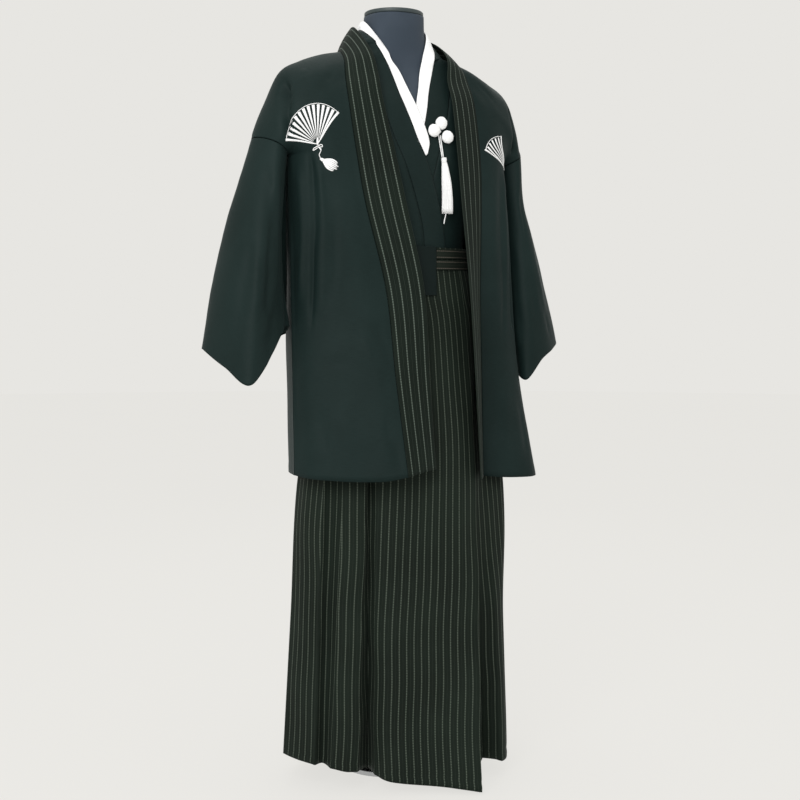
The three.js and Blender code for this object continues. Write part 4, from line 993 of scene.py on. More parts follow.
# Creases of the haori: places (x and z) of a curve, depth below 0 or height above it, width, side of the
# cloth (-1 the front, 1 the back), the share of its length over which it fades and, for some, which side is
# steeper (1 toward +X, -1 toward -X).
HAORI_CREASES = {
    "right": [
        ([(-250, 1362), (-257, 1321), (-261, 1283), (-257, 1240)], -15, 13, -1, 0.18, 1),
        ([(-219, 1232), (-212, 1133), (-213, 1020), (-219, 880)], -5.5, 6, -1, 0.16),
        ([(-207, 1220), (-199, 1120), (-200, 1010), (-206, 900)], 3.2, 8, -1, 0.2),
        ([(-232, 1200), (-228, 1080), (-232, 930)], 3.4, 9, -1, 0.2),
        ([(-246, 1140), (-240, 1000), (-246, 800), (-250, 700)], -3.6, 9, -1, 0.2),
        ([(-186, 1190), (-178, 1060), (-184, 930)], -1.6, 9, -1, 0.3),
        ([(-240, 808), (-221, 806)], -1.6, 3.5, -1, 0.4),
        ([(-218, 828), (-186, 826), (-152, 830)], -1.5, 3, -1, 0.3),
        ([(-120, 905), (-98, 862), (-84, 815)], -1.8, 7, -1, 0.35),
        ([(-142, 880), (-118, 830)], 1.4, 8, -1, 0.4),
        ([(-112, 720), (-94, 672), (-82, 612)], -2.4, 10, -1, 0.35),
        ([(-190, 760), (-168, 680), (-160, 600)], 2.2, 15, -1, 0.35),
        ([(-214, 740), (-200, 640)], -2.4, 13, -1, 0.35),
        ([(-150, 1120), (-128, 980), (-118, 860)], 1.6, 18, -1, 0.35),
        ([(-160, 1392), (-176, 1368), (-196, 1352)], -1.6, 6, -1, 0.4),
        ([(-140, 1370), (-158, 1330)], -1.2, 7, -1, 0.4),
        ([(-214, 1385), (-232, 1352)], 1.5, 8, -1, 0.4),
        ([(-254, 1340), (-262, 1290), (-262, 1236)], -9, 9, 1, 0.2),
        ([(-226, 1270), (-206, 1100), (-204, 900)], -4.6, 11, 1, 0.2),
        ([(-206, 1240), (-184, 1080), (-178, 900)], 3.2, 13, 1, 0.25),
        ([(-160, 1320), (-128, 1180), (-112, 1030)], -2.6, 13, 1, 0.3),
        ([(-96, 1200), (-122, 1000), (-130, 820)], 2.8, 17, 1, 0.3),
        ([(-62, 1080), (-50, 900), (-44, 740)], -2.4, 14, 1, 0.3),
        ([(-150, 840), (-166, 640)], 3.6, 17, 1, 0.3),
        ([(-100, 800), (-96, 620)], -3.0, 15, 1, 0.3),
        ([(-30, 830), (-36, 620)], 2.4, 15, 1, 0.3),
        ([(-120, 1010), (-70, 992)], -1.4, 4, 1, 0.4),
    ],
    "left": [
        ([(244, 1345), (254, 1295), (256, 1242)], -13, 12, -1, 0.18, -1),
        ([(232, 1240), (230, 1120), (234, 960), (240, 860)], -5, 7, -1, 0.2),
        ([(216, 1220), (214, 1100), (218, 940)], 3.4, 9, -1, 0.25),
        ([(198, 1230), (200, 1100), (206, 960), (200, 850)], -3, 8, -1, 0.25),
        ([(182, 1180), (180, 1040), (188, 900)], 1.8, 9, -1, 0.3),
        ([(176, 800), (212, 790), (246, 794)], -1.5, 3.5, -1, 0.3),
        ([(206, 770), (200, 690), (204, 600)], 2.2, 12, -1, 0.3),
        ([(240, 760), (250, 690), (256, 600)], -2.8, 12, -1, 0.3),
        ([(178, 740), (170, 640)], -1.8, 9, -1, 0.35),
        ([(150, 1385), (178, 1362), (204, 1340)], -1.5, 6, -1, 0.4),
        ([(254, 1336), (262, 1290), (262, 1236)], -8, 9, 1, 0.2),
        ([(232, 1280), (214, 1100), (212, 880)], -4.2, 12, 1, 0.2),
        ([(200, 1250), (186, 1080), (184, 900)], 3.2, 13, 1, 0.25),
        ([(144, 1310), (112, 1160), (98, 1040)], -2.4, 13, 1, 0.3),
        ([(108, 1160), (128, 980), (132, 800)], 2.6, 16, 1, 0.3),
        ([(52, 1100), (60, 900), (62, 720)], -2.6, 15, 1, 0.3),
        ([(168, 810), (186, 630)], 3.4, 17, 1, 0.3),
        ([(108, 780), (120, 620)], -2.8, 15, 1, 0.3),
        ([(30, 840), (28, 620)], 2.2, 15, 1, 0.3),
    ],
}
HEM_FOLD = 22
# The two sides keep this distance at the sewn side, and are drawn to it over this width of cloth.
SIDE_SEAM = 0.7
SIDE_FADE = 26
# Creases fade out over this width at a panel's sides.
EDGE_FADE = 12
# Above this height, over this rise, the haori rests on the form and its troughs are shallow.
RESTING_FROM = 1340
RESTING_RISE = 50


def side_closed(grid, column, row):
    """Below the sleeve the front's side edge and the back's are drawn together, as a sewn side."""
    edge = grid[:, column].copy()
    front, back = row < UNDERARM[0], row > UNDERARM[1]
    pull = np.zeros_like(edge)
    for own, other in ((front, back), (back, front)):
        places = edge[other][np.argsort(edge[other][:, 2])]
        level = [np.interp(edge[own][:, 2], places[:, 2], places[:, k]) for k in (0, 1)]
        across_gap = np.stack(level, -1) - edge[own][:, :2]
        gap = np.linalg.norm(across_gap, axis=1)[:, None]
        pull[own, :2] = across_gap * np.clip(0.5 - SIDE_SEAM / np.maximum(gap, 1e-6), 0, 0.5)
    away = np.linalg.norm(grid - edge[:, None, :], axis=-1)
    return grid + pull[:, None, :] * bell(away, SIDE_FADE)[..., None]


def haori_body(name, table, side, hem, seed):
    rows = trimmed(table)
    breaks = (UNDERARM[0], NECK_ROW, UNDERARM[1])
    right = side == "right"
    u = np.linspace(0, 1, 96)
    v = np.linspace(0, 1, 281)
    across = 1 - u if right else u

    def column(share):
        return patch(rows, np.array([share]), v, breaks)[:, 0]

    grid = patch(rows, across, v, breaks)
    row = v * (len(rows) - 1)
    along = np.minimum(row, NECK_ROW) / (2 * NECK_ROW)
    line = through(NECKLINE, along if right else 1 - along)
    edge = column(0.0)
    inward = unit(column(0.08) - edge) * HAORI_TRIM
    shift = (line + inward - edge) * (row < NECK_ROW)[:, None]
    grid = grid + shift[:, None, :] * ((1 - across) ** 3)[None, :, None]
    grid = side_closed(grid, 0 if right else -1, row)
    grid[..., 2] -= SETTLE
    normals = normals_of(grid)
    dent = creased(grid, normals, HAORI_CREASES[side])
    dent = dent + uneven(grid, seed, 190, 0.9) + uneven(grid, seed + 40, 60, 0.25)
    above = grid[..., 2] - hem
    dent = dent + 0.5 * smooth((HEM_FOLD - above) / 1.5) - 0.5 * bell(above - HEM_FOLD, 2.2)
    sides = lengths(grid, 1) if right else lengths(grid, 1)[:, -1:] - lengths(grid, 1)
    far_sides = sides.max(1, keepdims=True) - sides
    dent = dent * smooth(sides / EDGE_FADE) * smooth(far_sides / EDGE_FADE)
    resting = smooth((grid[..., 2] - RESTING_FROM) / RESTING_RISE)
    dent = np.where(dent < 0, dent * (1 - 0.8 * resting), dent)
    grid = grid + normals * dent[..., None]
    piece = cloth(name + "_cloth", grid, BLACK, name)
    return grid


def haori_collar():
    inner = np.array(COLLAR_RIGHT + COLLAR_LEFT[:NECK_ROW][::-1], float)
    grid = collar_band([(place, outer, 0) for place, outer in zip(inner, NECKLINE)], 2.0, nu=26, nv=520)
    grid[..., 2] -= SETTLE
    normals = normals_of(grid)
    u = np.linspace(0, 1, grid.shape[1])[None, :]
    v = lengths(grid, 0)
    crown = 0.9 * np.sin(math.pi * u) ** 0.8
    wave = 0.8 * np.sin(v / 61 + 2 * u) + 0.6 * np.sin(v / 37 + 1.2)
    grid = grid + normals * (crown + wave * 0.5 * np.sin(math.pi * u))[..., None]
    band = band_widths(grid, 71.0)
    piece = cloth("haori_collar_band", grid, EDGING, "haori_collar", BAND, u=band)


def ring_from(ring):
    """A ring of the sleeve's tables, made to start and end at the underarm."""
    return list(ring[RING_UNDERARM:]) + list(ring[: RING_UNDERARM + 1])


SLEEVE_CREASES = {
    "right": [
        ([(-300, 1200), (-306, 1060), (-322, 900)], -4.5, 10, -1, 0.2),
        ([(-284, 1190), (-288, 1040), (-302, 870)], 3.4, 10, -1, 0.25),
        ([(-318, 1150), (-336, 1010), (-352, 880)], 3.0, 11, -1, 0.25),
        ([(-338, 1060), (-362, 950), (-380, 850)], -3.0, 10, -1, 0.3),
        ([(-290, 980), (-304, 900), (-322, 826)], -3.0, 9, -1, 0.3),
        ([(-312, 930), (-340, 860)], 2.0, 10, -1, 0.4),
        ([(-300, 1200), (-316, 1050), (-332, 900)], -4.2, 12, 1, 0.2),
        ([(-326, 1150), (-346, 1010), (-362, 900)], 3.0, 12, 1, 0.25),
        ([(-286, 1100), (-292, 980), (-300, 870)], 2.8, 10, 1, 0.25),
    ],
    "left": [
        ([(276, 1190), (284, 1050), (304, 890)], -3.6, 8, -1, 0.2),
        ([(296, 1120), (312, 1000), (338, 880)], 2.6, 10, -1, 0.25),
        ([(266, 1080), (276, 950), (292, 830)], 2.4, 10, -1, 0.25),
        ([(310, 980), (346, 860)], -2.4, 9, -1, 0.3),
        ([(284, 1190), (300, 1040), (312, 890)], -3.6, 11, 1, 0.2),
        ([(308, 1110), (328, 1000), (344, 890)], 2.8, 12, 1, 0.25),
    ],
}
# The sleeve's inner side falls toward the body by at most SLEEVE_FALL and stays SLEEVE_CLEAR off it. The fall
# grows over FALL_LOW's second value above its first, and ends over FALL_HIGH's second below its first.
SLEEVE_FALL = 30
SLEEVE_CLEAR = 3.5
FALL_LOW = (832, 50)
FALL_HIGH = (1262, 70)


def haori_sleeve(name, table, side, seed, body):
    rings = [ring_from(ring) for ring in table]
    sign = SIGN[side]
    around, nv = 120, 120
    u = np.arange(around) / around
    v = np.linspace(0, 1, nv)
    grid = patch(rings, u if sign < 0 else 1 - u, 1 - v)
    grid[-1, :, 2] -= 0.4
    grid[..., 2] -= SETTLE
    normals = normals_of(grid, ring=True)
    dent = creased(grid, normals, SLEEVE_CREASES[side])
    dent = dent + uneven(grid, seed, 130, 0.8) + uneven(grid, seed + 40, 50, 0.25)
    dent = dent * smooth((1 - v) / 0.09)[:, None]
    grid = grid + normals * dent[..., None]
    inner = smooth(-sign * normals[..., 0] * 1.5) * smooth(0.55 + normals[..., 1] * 1.5)
    below_top = smooth((FALL_HIGH[0] - grid[..., 2]) / FALL_HIGH[1])
    share = inner * (below_top * smooth((grid[..., 2] - FALL_LOW[0]) / FALL_LOW[1]))
    body_tree = tree_of(body)
    for j, i in np.argwhere(share > 0.01):
        hit = body_tree.ray_cast(Vector(grid[j, i]), Vector((-sign, 0, 0)), 2 * SLEEVE_FALL)
        room = hit[3] - SLEEVE_CLEAR if hit[3] is not None else 0.0
        grid[j, i, 0] -= sign * max(0.0, min(room, SLEEVE_FALL)) * share[j, i]
    piece = cloth(name + "_cloth", grid, BLACK, name, ring=True)


def kimono_sleeve(name, table, side):
    sign = SIGN[side]
    rings = [ring_from([figure_point(sign * turn, z, SLEEVE_ROOT_OUT) for turn, z in SHOULDER_RING])]
    for ring in np.array(table, float):
        centre = ring.mean(0)
        rings.append(ring_from(centre + (ring - centre) * NESTED))
    rings = np.array(rings)
    rings[-1, :, 2] += CUFF_SETBACK
    u = np.arange(48) / 48
    grid = patch(rings, u if sign < 0 else 1 - u, 1 - np.linspace(0, 1, 56))
    piece = cloth(name + "_cloth", grid, INNER, name, ring=True)


# ------------------------------------------------------------------ the hakama
# The pleats' edges at the waist: turns as in the tables, and the turns where they sit.
SETTLED_TURNS = (
    [-90, -31, -16, -2, 10, 21, 31, 42, 54, 68, 90, 270],
    [-90, -31, -15, 2, 16, 32, 39, 47, 58, 70, 90, 270],
)
# Zones of a panel: first column, last column and the column its stripes run from.
FRONT_ZONES = [(0, 3, 0), (3, 5, 5), (5, 7, 7), (7, 9, 9), (9, 14, 14), (14, 16, 16), (16, 20, 16)]
BACK_ZONES = [(0, 3, 3), (3, 5, 3), (5, 8, 5)]
# Each panel's side edge leans this far toward the other's, over this width of cloth.
SIDE_REACH = 0.6
SIDE_LEAN = 15
# The cloth bulges by this much round this turn, over this many degrees.
FULLER, FULLER_TURN, FULLER_SPAN = 15, 38, 17
# Heights above the hem of its ridge and groove, and a sharp pleat's width as a share of a column.
HEM_RIDGE = 10
HEM_GROOVE = 17
PLEAT_WIDTH = 0.22


def waist_rings(turn, middle):
    """Rings from the waist down to where the skirt hangs free; their folds turn toward those of middle."""
    fuller = FULLER * bell(turn - FULLER_TURN, FULLER_SPAN)
    top, bottom = WAIST_RINGS[0][0], WAIST_RINGS[-1][0]
    rings = []
    for z, out in WAIST_RINGS:
        height = np.full(len(turn), float(z))
        lift = HAKAMA_OUT + out + fuller * (1 - (z - bottom) / (top - bottom))
        ring = figure_point(turn, height, lift)
        if rings:
            down = (top - z) / (top - SKIRT_MID)
            straight = front_point(mix(rings[0][:, 0], middle[:, 0], down), height, lift)
            ring = mix(ring, straight, smooth((62 - np.abs(turn)) / 16)[:, None])
        rings.append(ring)
    return rings


def stripe_zones(widths, zones, each):
    """The u of each cell's left and right side, counted from the column its zone's stripes run from."""
    left = np.zeros((widths.shape[0], widths.shape[1] - 1))
    right = left.copy()
    for zone in zones:
        a, b, c = [k * each for k in zone]
        left[:, a:b] = widths[:, a:b] - widths[:, c : c + 1]
        right[:, a:b] = widths[:, a + 1 : b + 1] - widths[:, c : c + 1]
    return left, right


def hakama_panel(name, table, each, zones, seed, lean):
    """A pleated panel with each columns of cells per row of its table. Its stripes keep their distance from a
    pleat's edge, and lean is the way in Y that its sides reach for the other panel's."""
    rows = np.array(table, float)
    spans = len(rows) - 1
    breaks = [i for i in range(1, spans) if rows[i, 6]]
    turn = np.interp(rows[:, 0], *SETTLED_TURNS)
    middle = np.stack([rows[:, 1], rows[:, 2], np.full(len(rows), SKIRT_MID)], -1)
    hem = rows[:, 3:6]
    rings = np.array(waist_rings(turn, middle) + [middle, (middle + hem) / 2, hem])
    u = np.linspace(0, 1, spans * each + 1)
    across = np.array([through(r, u, breaks) for r in rings])
    v = np.concatenate([np.linspace(0, 3, 106), np.linspace(3, 6, 64)[1:]]) / 6
    grid = through(across, 1 - v)
    normals = normals_of(grid)
    low = smooth((1000 - grid[..., 2]) / 420)
    dent = uneven(grid, seed, 150, 1.3) * low
    above = grid[..., 2] - grid[0, :, 2][None, :]
    dent = dent + 0.5 * bell(above - HEM_RIDGE, 3) - 0.7 * bell(above - HEM_GROOVE, 4)
    column = np.arange(grid.shape[1]) / each
    for k in breaks:
        dent = dent + low * bell(column - k, PLEAT_WIDTH)[None, :]
    soft = smooth(np.minimum(column, spans - column) / 0.5)[None, :]
    grid = grid + normals * (dent * soft)[..., None]
    widths = lengths(grid, 1)
    side = bell(widths, SIDE_LEAN) + bell(widths[:, -1:] - widths, SIDE_LEAN)
    grid[..., 1] += SIDE_REACH * side * lean
    own_u = stripe_zones(widths, zones, each)
    return cloth(name + "_cloth", grid, PLEATED, name, zones=own_u)


def build_hakama():
    front = hakama_panel("hakama_front", HAKAMA_FRONT, 12, FRONT_ZONES, 21, 1)
    back = hakama_panel("hakama_back", HAKAMA_BACK, 22, BACK_ZONES, 22, -1)
    upper = WAIST_TOP - 13
    for name, height in (("waist_tie_upper", upper), ("waist_tie_lower", upper - TIE_STEP)):
        turn = np.arange(220) * 360 / 220
        v = np.linspace(0, 1, 15)
        z = height + np.sin(np.radians(turn))[None, :] + (v[:, None] - 0.5) * TIE_HEIGHT
        bulge = 0.7 * np.sin(math.pi * v)[:, None] ** 0.7 + 0.25 * np.sin(np.radians(turn * 3))[None, :]
        grid = figure_point(turn[None, :] + 0 * z, z, TIE_OUT + bulge)
        up = np.broadcast_to((v * TIE_HEIGHT)[:, None], grid.shape[:2])
        piece = cloth(name + "_band", grid, BINDING, name, BAND, ring=True, v=up)


# ------------------------------------------------------------------ sash end and ornament
TAIL_LEFT = -27
BALLS = {"top": (42, 1286), "right": (24, 1271), "left": (54.5, 1261)}
BALL_RADIUS = 12.6
# The balls are flattened toward the chest, and their middles lie this far out.
BALL_FLAT = 0.6
BALL_SEAT = 11.2 * BALL_FLAT
BEAD_PLACE = (38.6, 1271)
# Each cord's upper and lower end.
CORDS = {"right": ((36.8, 1264), (43.4, 1222.5)), "left": ((41, 1264), (46.6, 1222.5))}
CORD_TURNS = 12
TASSEL_TOP = (45, 1221)
TASSEL_LENGTH = 108
STRANDS = 300
# How wide the tassel is at shares of its length.
TASSEL_SHARES = [0, 0.12, 0.4, 0.8, 1]
TASSEL_SPREAD = [3.4, 6.4, 9.8, 11.6, 11.9]
WRAPS = 11
GOLDEN_ANGLE = 2.39996


def sash_end():
    z = WAIST_TOP + 2 - TAIL_LENGTH * (1 - np.linspace(0, 1, 60))[:, None]
    u = np.linspace(0, 1, 36)[None, :]
    x = TAIL_LEFT + u * TAIL_WIDTH
    grid = front_point(x + 0 * z, z + 0 * x, np.full((1, 1), TAIL_OUT))
    roll = 0.8 * np.sin(math.pi * u) ** 0.5 + 0.4 * np.sin(5 * u + z / 40)
    grid = grid + normals_of(grid) * roll[..., None]
    # Its silk is darkened to half tone: painted shade.
    piece = cloth("sash_end_cloth", grid, TAIL_SILK_PAINTED_SHADE, "sash_end", BAND)


def on_chest(x, z, lift):
    return front_point(x, z, UNDER_OUT + LAYER + lift)


def distances(path):
    """How far along a path each of its points lies."""
    return np.concatenate([[0], np.cumsum(np.linalg.norm(np.diff(path, axis=0), axis=1))])


def tube_mesh(path, radius, sides, start=0):
    """A round tube through points: its vertices, faces and cloth coordinates."""
    path = np.asarray(path, float)
    n = len(path)
    axis = unit(np.gradient(path, axis=0))
    across = unit(np.cross(np.array([0.12, 1.0, 0.05]), axis))
    up = np.cross(axis, across)
    angle = (np.arange(sides) * 2 * math.pi / sides)[None, :, None]
    verts = path[:, None] + radius * (np.cos(angle) * across[:, None] + np.sin(angle) * up[:, None])
    along = distances(path)
    uv = []
    for j in range(n - 1):
        for i in range(sides):
            a0, a1 = i / sides * 6 * radius, (i + 1) / sides * 6 * radius
            uv += [(a0, along[j]), (a1, along[j]), (a1, along[j + 1]), (a0, along[j + 1])]
    uv += [(0, 0)] * (2 * sides)
    return verts.reshape(-1, 3), ring_faces(n, sides, start), uv


def tubes(name, paths, sides, node=None):
    """Many tubes of thread as one mesh; each path comes with its radius."""
    verts, faces, uv, count = [], [], [], 0
    for path, radius in paths:
        a, b, c = tube_mesh(path, radius, sides, count)
        verts.append(a)
        faces += b
        uv += c
        count += len(a)
    verts = in_metres(np.concatenate(verts))
    new_object(name, verts, faces, THREAD, np.array(uv) / 1000, node)


def soft_ball(name, x, z, node, seed, neighbours):
    """A ball of clipped silk: tufts in rows round a flattened ball."""
    rng = np.random.default_rng(seed)
    centre = on_chest(x, z, BALL_SEAT)
    nv, nu = 48, 96
    theta = np.linspace(0.02, math.pi - 0.02, nv)[:, None]
    phi = np.arange(nu)[None, :] * 2 * math.pi / nu
    d = np.stack([np.sin(theta) * np.cos(phi), -np.cos(theta) + 0 * phi, np.sin(theta) * np.sin(phi)], -1)
    tufts = np.zeros(d.shape[:2])
    for _ in range(9):
        way = unit(rng.normal(size=3)) * rng.uniform(9, 17)
        tufts += np.sin(d @ way + rng.uniform(0, 6))
    r = BALL_RADIUS + 0.08 * tufts + rng.normal(size=d.shape[:2]) * 0.06
    grid = centre + d * r[..., None] * np.array([1, BALL_FLAT, 1])
    for other in neighbours:
        apart = on_chest(*other, BALL_SEAT) - centre
        limit = np.linalg.norm(apart) / 2 - 0.25
        over = np.maximum((grid - centre) @ unit(apart) - limit, 0)
        grid = grid - over[..., None] * unit(apart)
    corners = np.array([(0, 0), (0.5, 0), (0.5, 0.5), (0, 0.5)])
    uv = [corner + (i * 0.5, j * 0.5) for j in range(nv - 1) for i in range(nu) for corner in corners]
    uv += [(0, 0)] * (2 * nu)
    verts = in_metres(grid.reshape(-1, 3))
    new_object(name, verts, ring_faces(nv, nu), TUFT, np.array(uv) / 1000, node)


def build_knot():
    centre = on_chest(*BEAD_PLACE, 3.2)
    t = np.linspace(0, 2 * math.pi, 25)
    knot = []
    for k in range(3):
        tilt = k * 1.05
        y = np.sin(t) * math.sin(tilt) + 0.4 * k - 0.4
        ring = np.stack([2.3 * np.cos(t), y, 2.3 * np.sin(t) * math.cos(tilt * 0.7)], -1)
        knot.append((centre + ring, 0.85))
    tubes("ornament_knot", knot, 10, "ornament_bead")


def build_cord(side, top, low):
    t = np.linspace(0, 1, 60)
    path = np.array([on_chest(mix(top[0], low[0], s), mix(top[1], low[1], s), 1.5) for s in t])
    strands = []
    for k in range(3):
        turn = 2 * math.pi * (t * CORD_TURNS + k / 3)
        twist = np.stack([np.cos(turn), np.sin(turn), 0 * turn], -1) * 0.62
        strands.append((path + twist, 0.66))
    tubes("ornament_twist_" + side, strands, 8, "ornament_cord_" + side)


def build_tassel():
    top = on_chest(*TASSEL_TOP, 5.8)
    low = on_chest(55, TASSEL_TOP[1] - TASSEL_LENGTH, 8.1)
    rng = np.random.default_rng(9)
    strands = []
    for k in range(STRANDS):
        angle = k * GOLDEN_ANGLE
        share = math.sqrt((k + 0.5) / STRANDS)
        t = np.linspace(0, 1, 14) * rng.uniform(0.95, 1.0)
        spread = np.interp(t, TASSEL_SHARES, TASSEL_SPREAD) * share
        sway = 2.6 * np.sin(math.pi * t) + 0.6 * np.sin(t * rng.uniform(3, 8) + rng.uniform(0, 6)) * t
        x = mix(top[0], low[0], t) + spread * math.cos(angle) + sway
        y = mix(top[1], low[1], t) + spread * math.sin(angle) * 0.55
        strands.append((np.stack([x, y, mix(top[2] - 3, low[2], t)], -1), 0.72))
    tubes("ornament_strands", strands, 4, "ornament_tassel")
    wraps = []
    for k in range(WRAPS):
        t = np.linspace(0, 2 * math.pi, 40)
        r = 4.9 + 0.5 * math.sin(k * 0.42)
        turn = np.stack([r * np.cos(t), r * 0.8 * np.sin(t), np.full_like(t, -1 - k * 0.95)], -1)
        wraps.append((top + turn, 0.52))
    tubes("ornament_wrap", wraps, 8)
    t = np.linspace(0, 1, 14)
    x = mix(low[0] - 3, low[0] - 7, t) + np.sin(5 * t)
    path = np.stack([x, low[1] + 0 * t, mix(low[2] + 14, low[2] - 20, t)], -1)
    tail = [(path, 0.9), (path + np.array([1.2, 0.4, 1.5]), 0.7)]
    tubes("ornament_tail", tail, 8)


def build_ornament():
    for k, (name, (x, z)) in enumerate(BALLS.items()):
        others = [place for other, place in BALLS.items() if other != name]
        soft_ball("soft_ball_" + name, x, z, "ornament_ball_" + name, k + 1, others)
    build_knot()
    for side, (top, low) in CORDS.items():
        build_cord(side, top, low)
    build_tassel()


# ------------------------------------------------------------------ the embroidered fans
class Panel:
    """Lays flat drawings, in millimetres from a place on a cloth, onto that cloth."""

    # Rays start this far off the cloth and reach this far.
    OFF = 70
    REACH = 160

    def __init__(self, grid, x, z, mirrored):
        self.tree = tree_of(grid)
        hit = self.tree.ray_cast(Vector((x, -600, z)), Vector((0, 1, 0)))
        self.centre = np.array(hit[0])
        self.out = np.array(hit[1]) * (-1 if hit[1][1] > 0 else 1)
        self.right = unit(np.cross(np.array([0, 0, 1.0]), -self.out))
        if self.right[0] < 0:
            self.right = -self.right
        self.up = np.cross(self.right, -self.out)
        if self.up[2] < 0:
            self.up = -self.up
        self.flip = -1 if mirrored else 1

    def point(self, a, b, lift):
        start = self.centre + self.flip * a * self.right + b * self.up + self.OFF * self.out
        hit = self.tree.ray_cast(Vector(start), Vector(-self.out), self.REACH)
        if hit[0] is None:
            hit = self.tree.find_nearest(Vector(start - self.OFF * self.out))
        normal = np.array(hit[1])
        if normal @ self.out < 0:
            normal = -normal
        return np.array(hit[0]) + normal * (CLOTH / 2 + 0.12 + lift)


class Stitches:
    """Satin-stitched strips, gathered into one mesh."""

    ACROSS = 6

    def __init__(self, panel):
        self.panel = panel
        self.verts, self.faces, self.uv = [], [], []

    def strip(self, path, widths, height=0.7):
        """A strip with a rounded face along a path of flat points, with a width at each."""
        path = np.asarray(path, float)
        way = unit(np.gradient(path, axis=0))
        side = np.stack([-way[:, 1], way[:, 0]], -1)
        share = np.linspace(-1, 1, self.ACROSS)
        crown = height * np.sqrt(np.maximum(0, 1 - share[1:-1] ** 2)) + 0.15
        rise = np.concatenate([[0.0], crown, [0.0]])
        start, n = len(self.verts), len(path)
        along = distances(path)
        for k in range(n):
            slope = min(1.0, 0.25 + min(k, n - 1 - k) * 0.5)
            for m in range(self.ACROSS):
                a, b = path[k] + side[k] * share[m] * widths[k] / 2
                self.verts.append(self.panel.point(a, b, rise[m] * slope))
        for k in range(n - 1):
            for m in range(self.ACROSS - 1):
                q = start + k * self.ACROSS + m
                self.faces.append((q, q + 1, q + self.ACROSS + 1, q + self.ACROSS))
                x0, x1 = share[m] * widths[k] / 2, share[m + 1] * widths[k] / 2
                self.uv += [(along[k], x0), (along[k], x1), (along[k + 1], x1), (along[k + 1], x0)]
            q = start + k * self.ACROSS
            self.faces.append((q, q + self.ACROSS, q + 2 * self.ACROSS - 1, q + self.ACROSS - 1))
            self.uv += [(0, 0)] * 4
        first = [start + m for m in range(self.ACROSS)]
        last = [start + (n - 1) * self.ACROSS + m for m in range(self.ACROSS)]
        self.faces += [tuple(first[::-1]), tuple(last)]
        self.uv += [(0, 0)] * (2 * self.ACROSS)

    def build(self, name):
        verts = in_metres(np.array(self.verts))
        new_object(name, verts, self.faces, THREAD, np.array(self.uv) / 1000, None)


# Where the near and the far fan lie on their fronts: x and z.
FAN_RIGHT = (-209, 1236)
FAN_LEFT = (231, 1203)
FAN_HUB = 11.0
# The share of the leaf that the near fan's blades fill.
FILL = 0.62
KNOT_LOOPS = (
    [(0, -4), (7, -1), (9, -5), (1, -6)],
    [(0, -4), (-7, -8), (-8, -12), (0, -7)],
    [(1, -6), (6, -9), (6, -13)],
)
SHORT_CORD = [(1, -5), (6, -12), (3, -20), (6, -28)]
LONG_CORD = [(2, -4), (6, -14), (3, -24), (8, -34), (5, -44), (9, -54)]
# The stitched tassel at a cord's end: its direction, threads, head and length.
TASSEL_WAY = (34.0, -19.0)
TASSEL_THREADS = 7
TASSEL_HEAD = 6
TASSEL_REACH = 36


def fan(stitches, first, last, blades, wide, tall, fill=FILL, sag=0.0, bow=0.0):
    """An open folding fan: two guards, blades between them and a fine line round the leaf. fill is the blades'
    share of the leaf, sag the degrees by which they sag halfway, and bow how far the leaf's edge bows out."""

    def spot(angle, share):
        turned = math.radians(angle + sag * math.sin(math.pi * min(share, 1)))
        reach = share * (1 + bow * math.sin(math.pi * (angle - first) / (last - first)))
        return np.array([reach * wide * math.cos(turned), reach * tall * math.sin(turned)])

    pitch = (last - first) / (blades + 1)
    hub = FAN_HUB / tall
    reach = np.linspace(hub, 0.965, 12)
    for k in range(1, blades + 1):
        angle = first + k * pitch
        spread = np.linalg.norm(spot(angle + pitch / 2, 1) - spot(angle - pitch / 2, 1))
        stitches.strip([spot(angle, r) for r in reach], 0.7 + (reach - hub) * spread * fill)
    for angle, bend in ((first, 3.0), (last, -2.0)):
        far = np.linspace(0.03, 1.01, 14)
        turned = angle + bend * np.sin(math.pi * np.clip(far, 0, 1)) * np.sign(last - first)
        stitches.strip([spot(t, r) for t, r in zip(turned, far)], (2.0 + 3.0 * far) * fill / FILL, 0.8)
    rim = [spot(t, 0.99) for t in np.linspace(first, last, 34)]
    stitches.strip(rim, np.full(34, 1.3), 0.4)
    stitches.strip([(0, -2.5), (0, 2.0), (0, 7.0), (0, 12.0)], [3.0, 4.6, 4.2, 3.0], 0.9)


def curl(places, count=22):
    return through(places, np.linspace(0, 1, count))


def knotted_cord(stitches, places, tassel):
    for loop in KNOT_LOOPS:
        stitches.strip(curl(loop, 12), np.full(12, 1.9), 0.8)
    path = curl(places)
    stitches.strip(path, np.full(len(path), 1.6), 0.6)
    if tassel:
        stitched_tassel(stitches, np.array(places[-1], float))


def stitched_tassel(stitches, head):
    way = unit(np.array(TASSEL_WAY))
    side = np.array([way[1], -way[0]])
    stitches.strip([head - way * 1.5, head + way * 2.5, head + way * TASSEL_HEAD], [3.5, 6.5, 7.0], 1.0)
    t = np.linspace(0, 1, 10)
    middle = TASSEL_THREADS // 2
    for k in range(TASSEL_THREADS):
        out = (k - middle) / middle
        tip = TASSEL_REACH - 5 * out * out - (2.5 if k % 2 else 0)
        ahead = TASSEL_HEAD + t * (tip - TASSEL_HEAD)
        aside = out * (2.6 + 7.0 * np.sin(math.pi * np.minimum(1, t * 0.72)))
        route = head + way * ahead[:, None] + side * aside[:, None]
        stitches.strip(route, 1.1 + 2.1 * np.sin(math.pi * np.clip(t * 0.8 + 0.1, 0, 1)), 0.7)


def build_fans(right_body, left_body):
    near = Stitches(Panel(right_body, *FAN_RIGHT, False))
    fan(near, 50, 174, 12, 60, 76)
    knotted_cord(near, SHORT_CORD, True)
    near.build("fan_right")
    far = Stitches(Panel(left_body, *FAN_LEFT, True))
    fan(far, 34, 66, 5, 99, 80, 0.4, -7.0, 0.09)
    knotted_cord(far, LONG_CORD, False)
    far.build("fan_left")


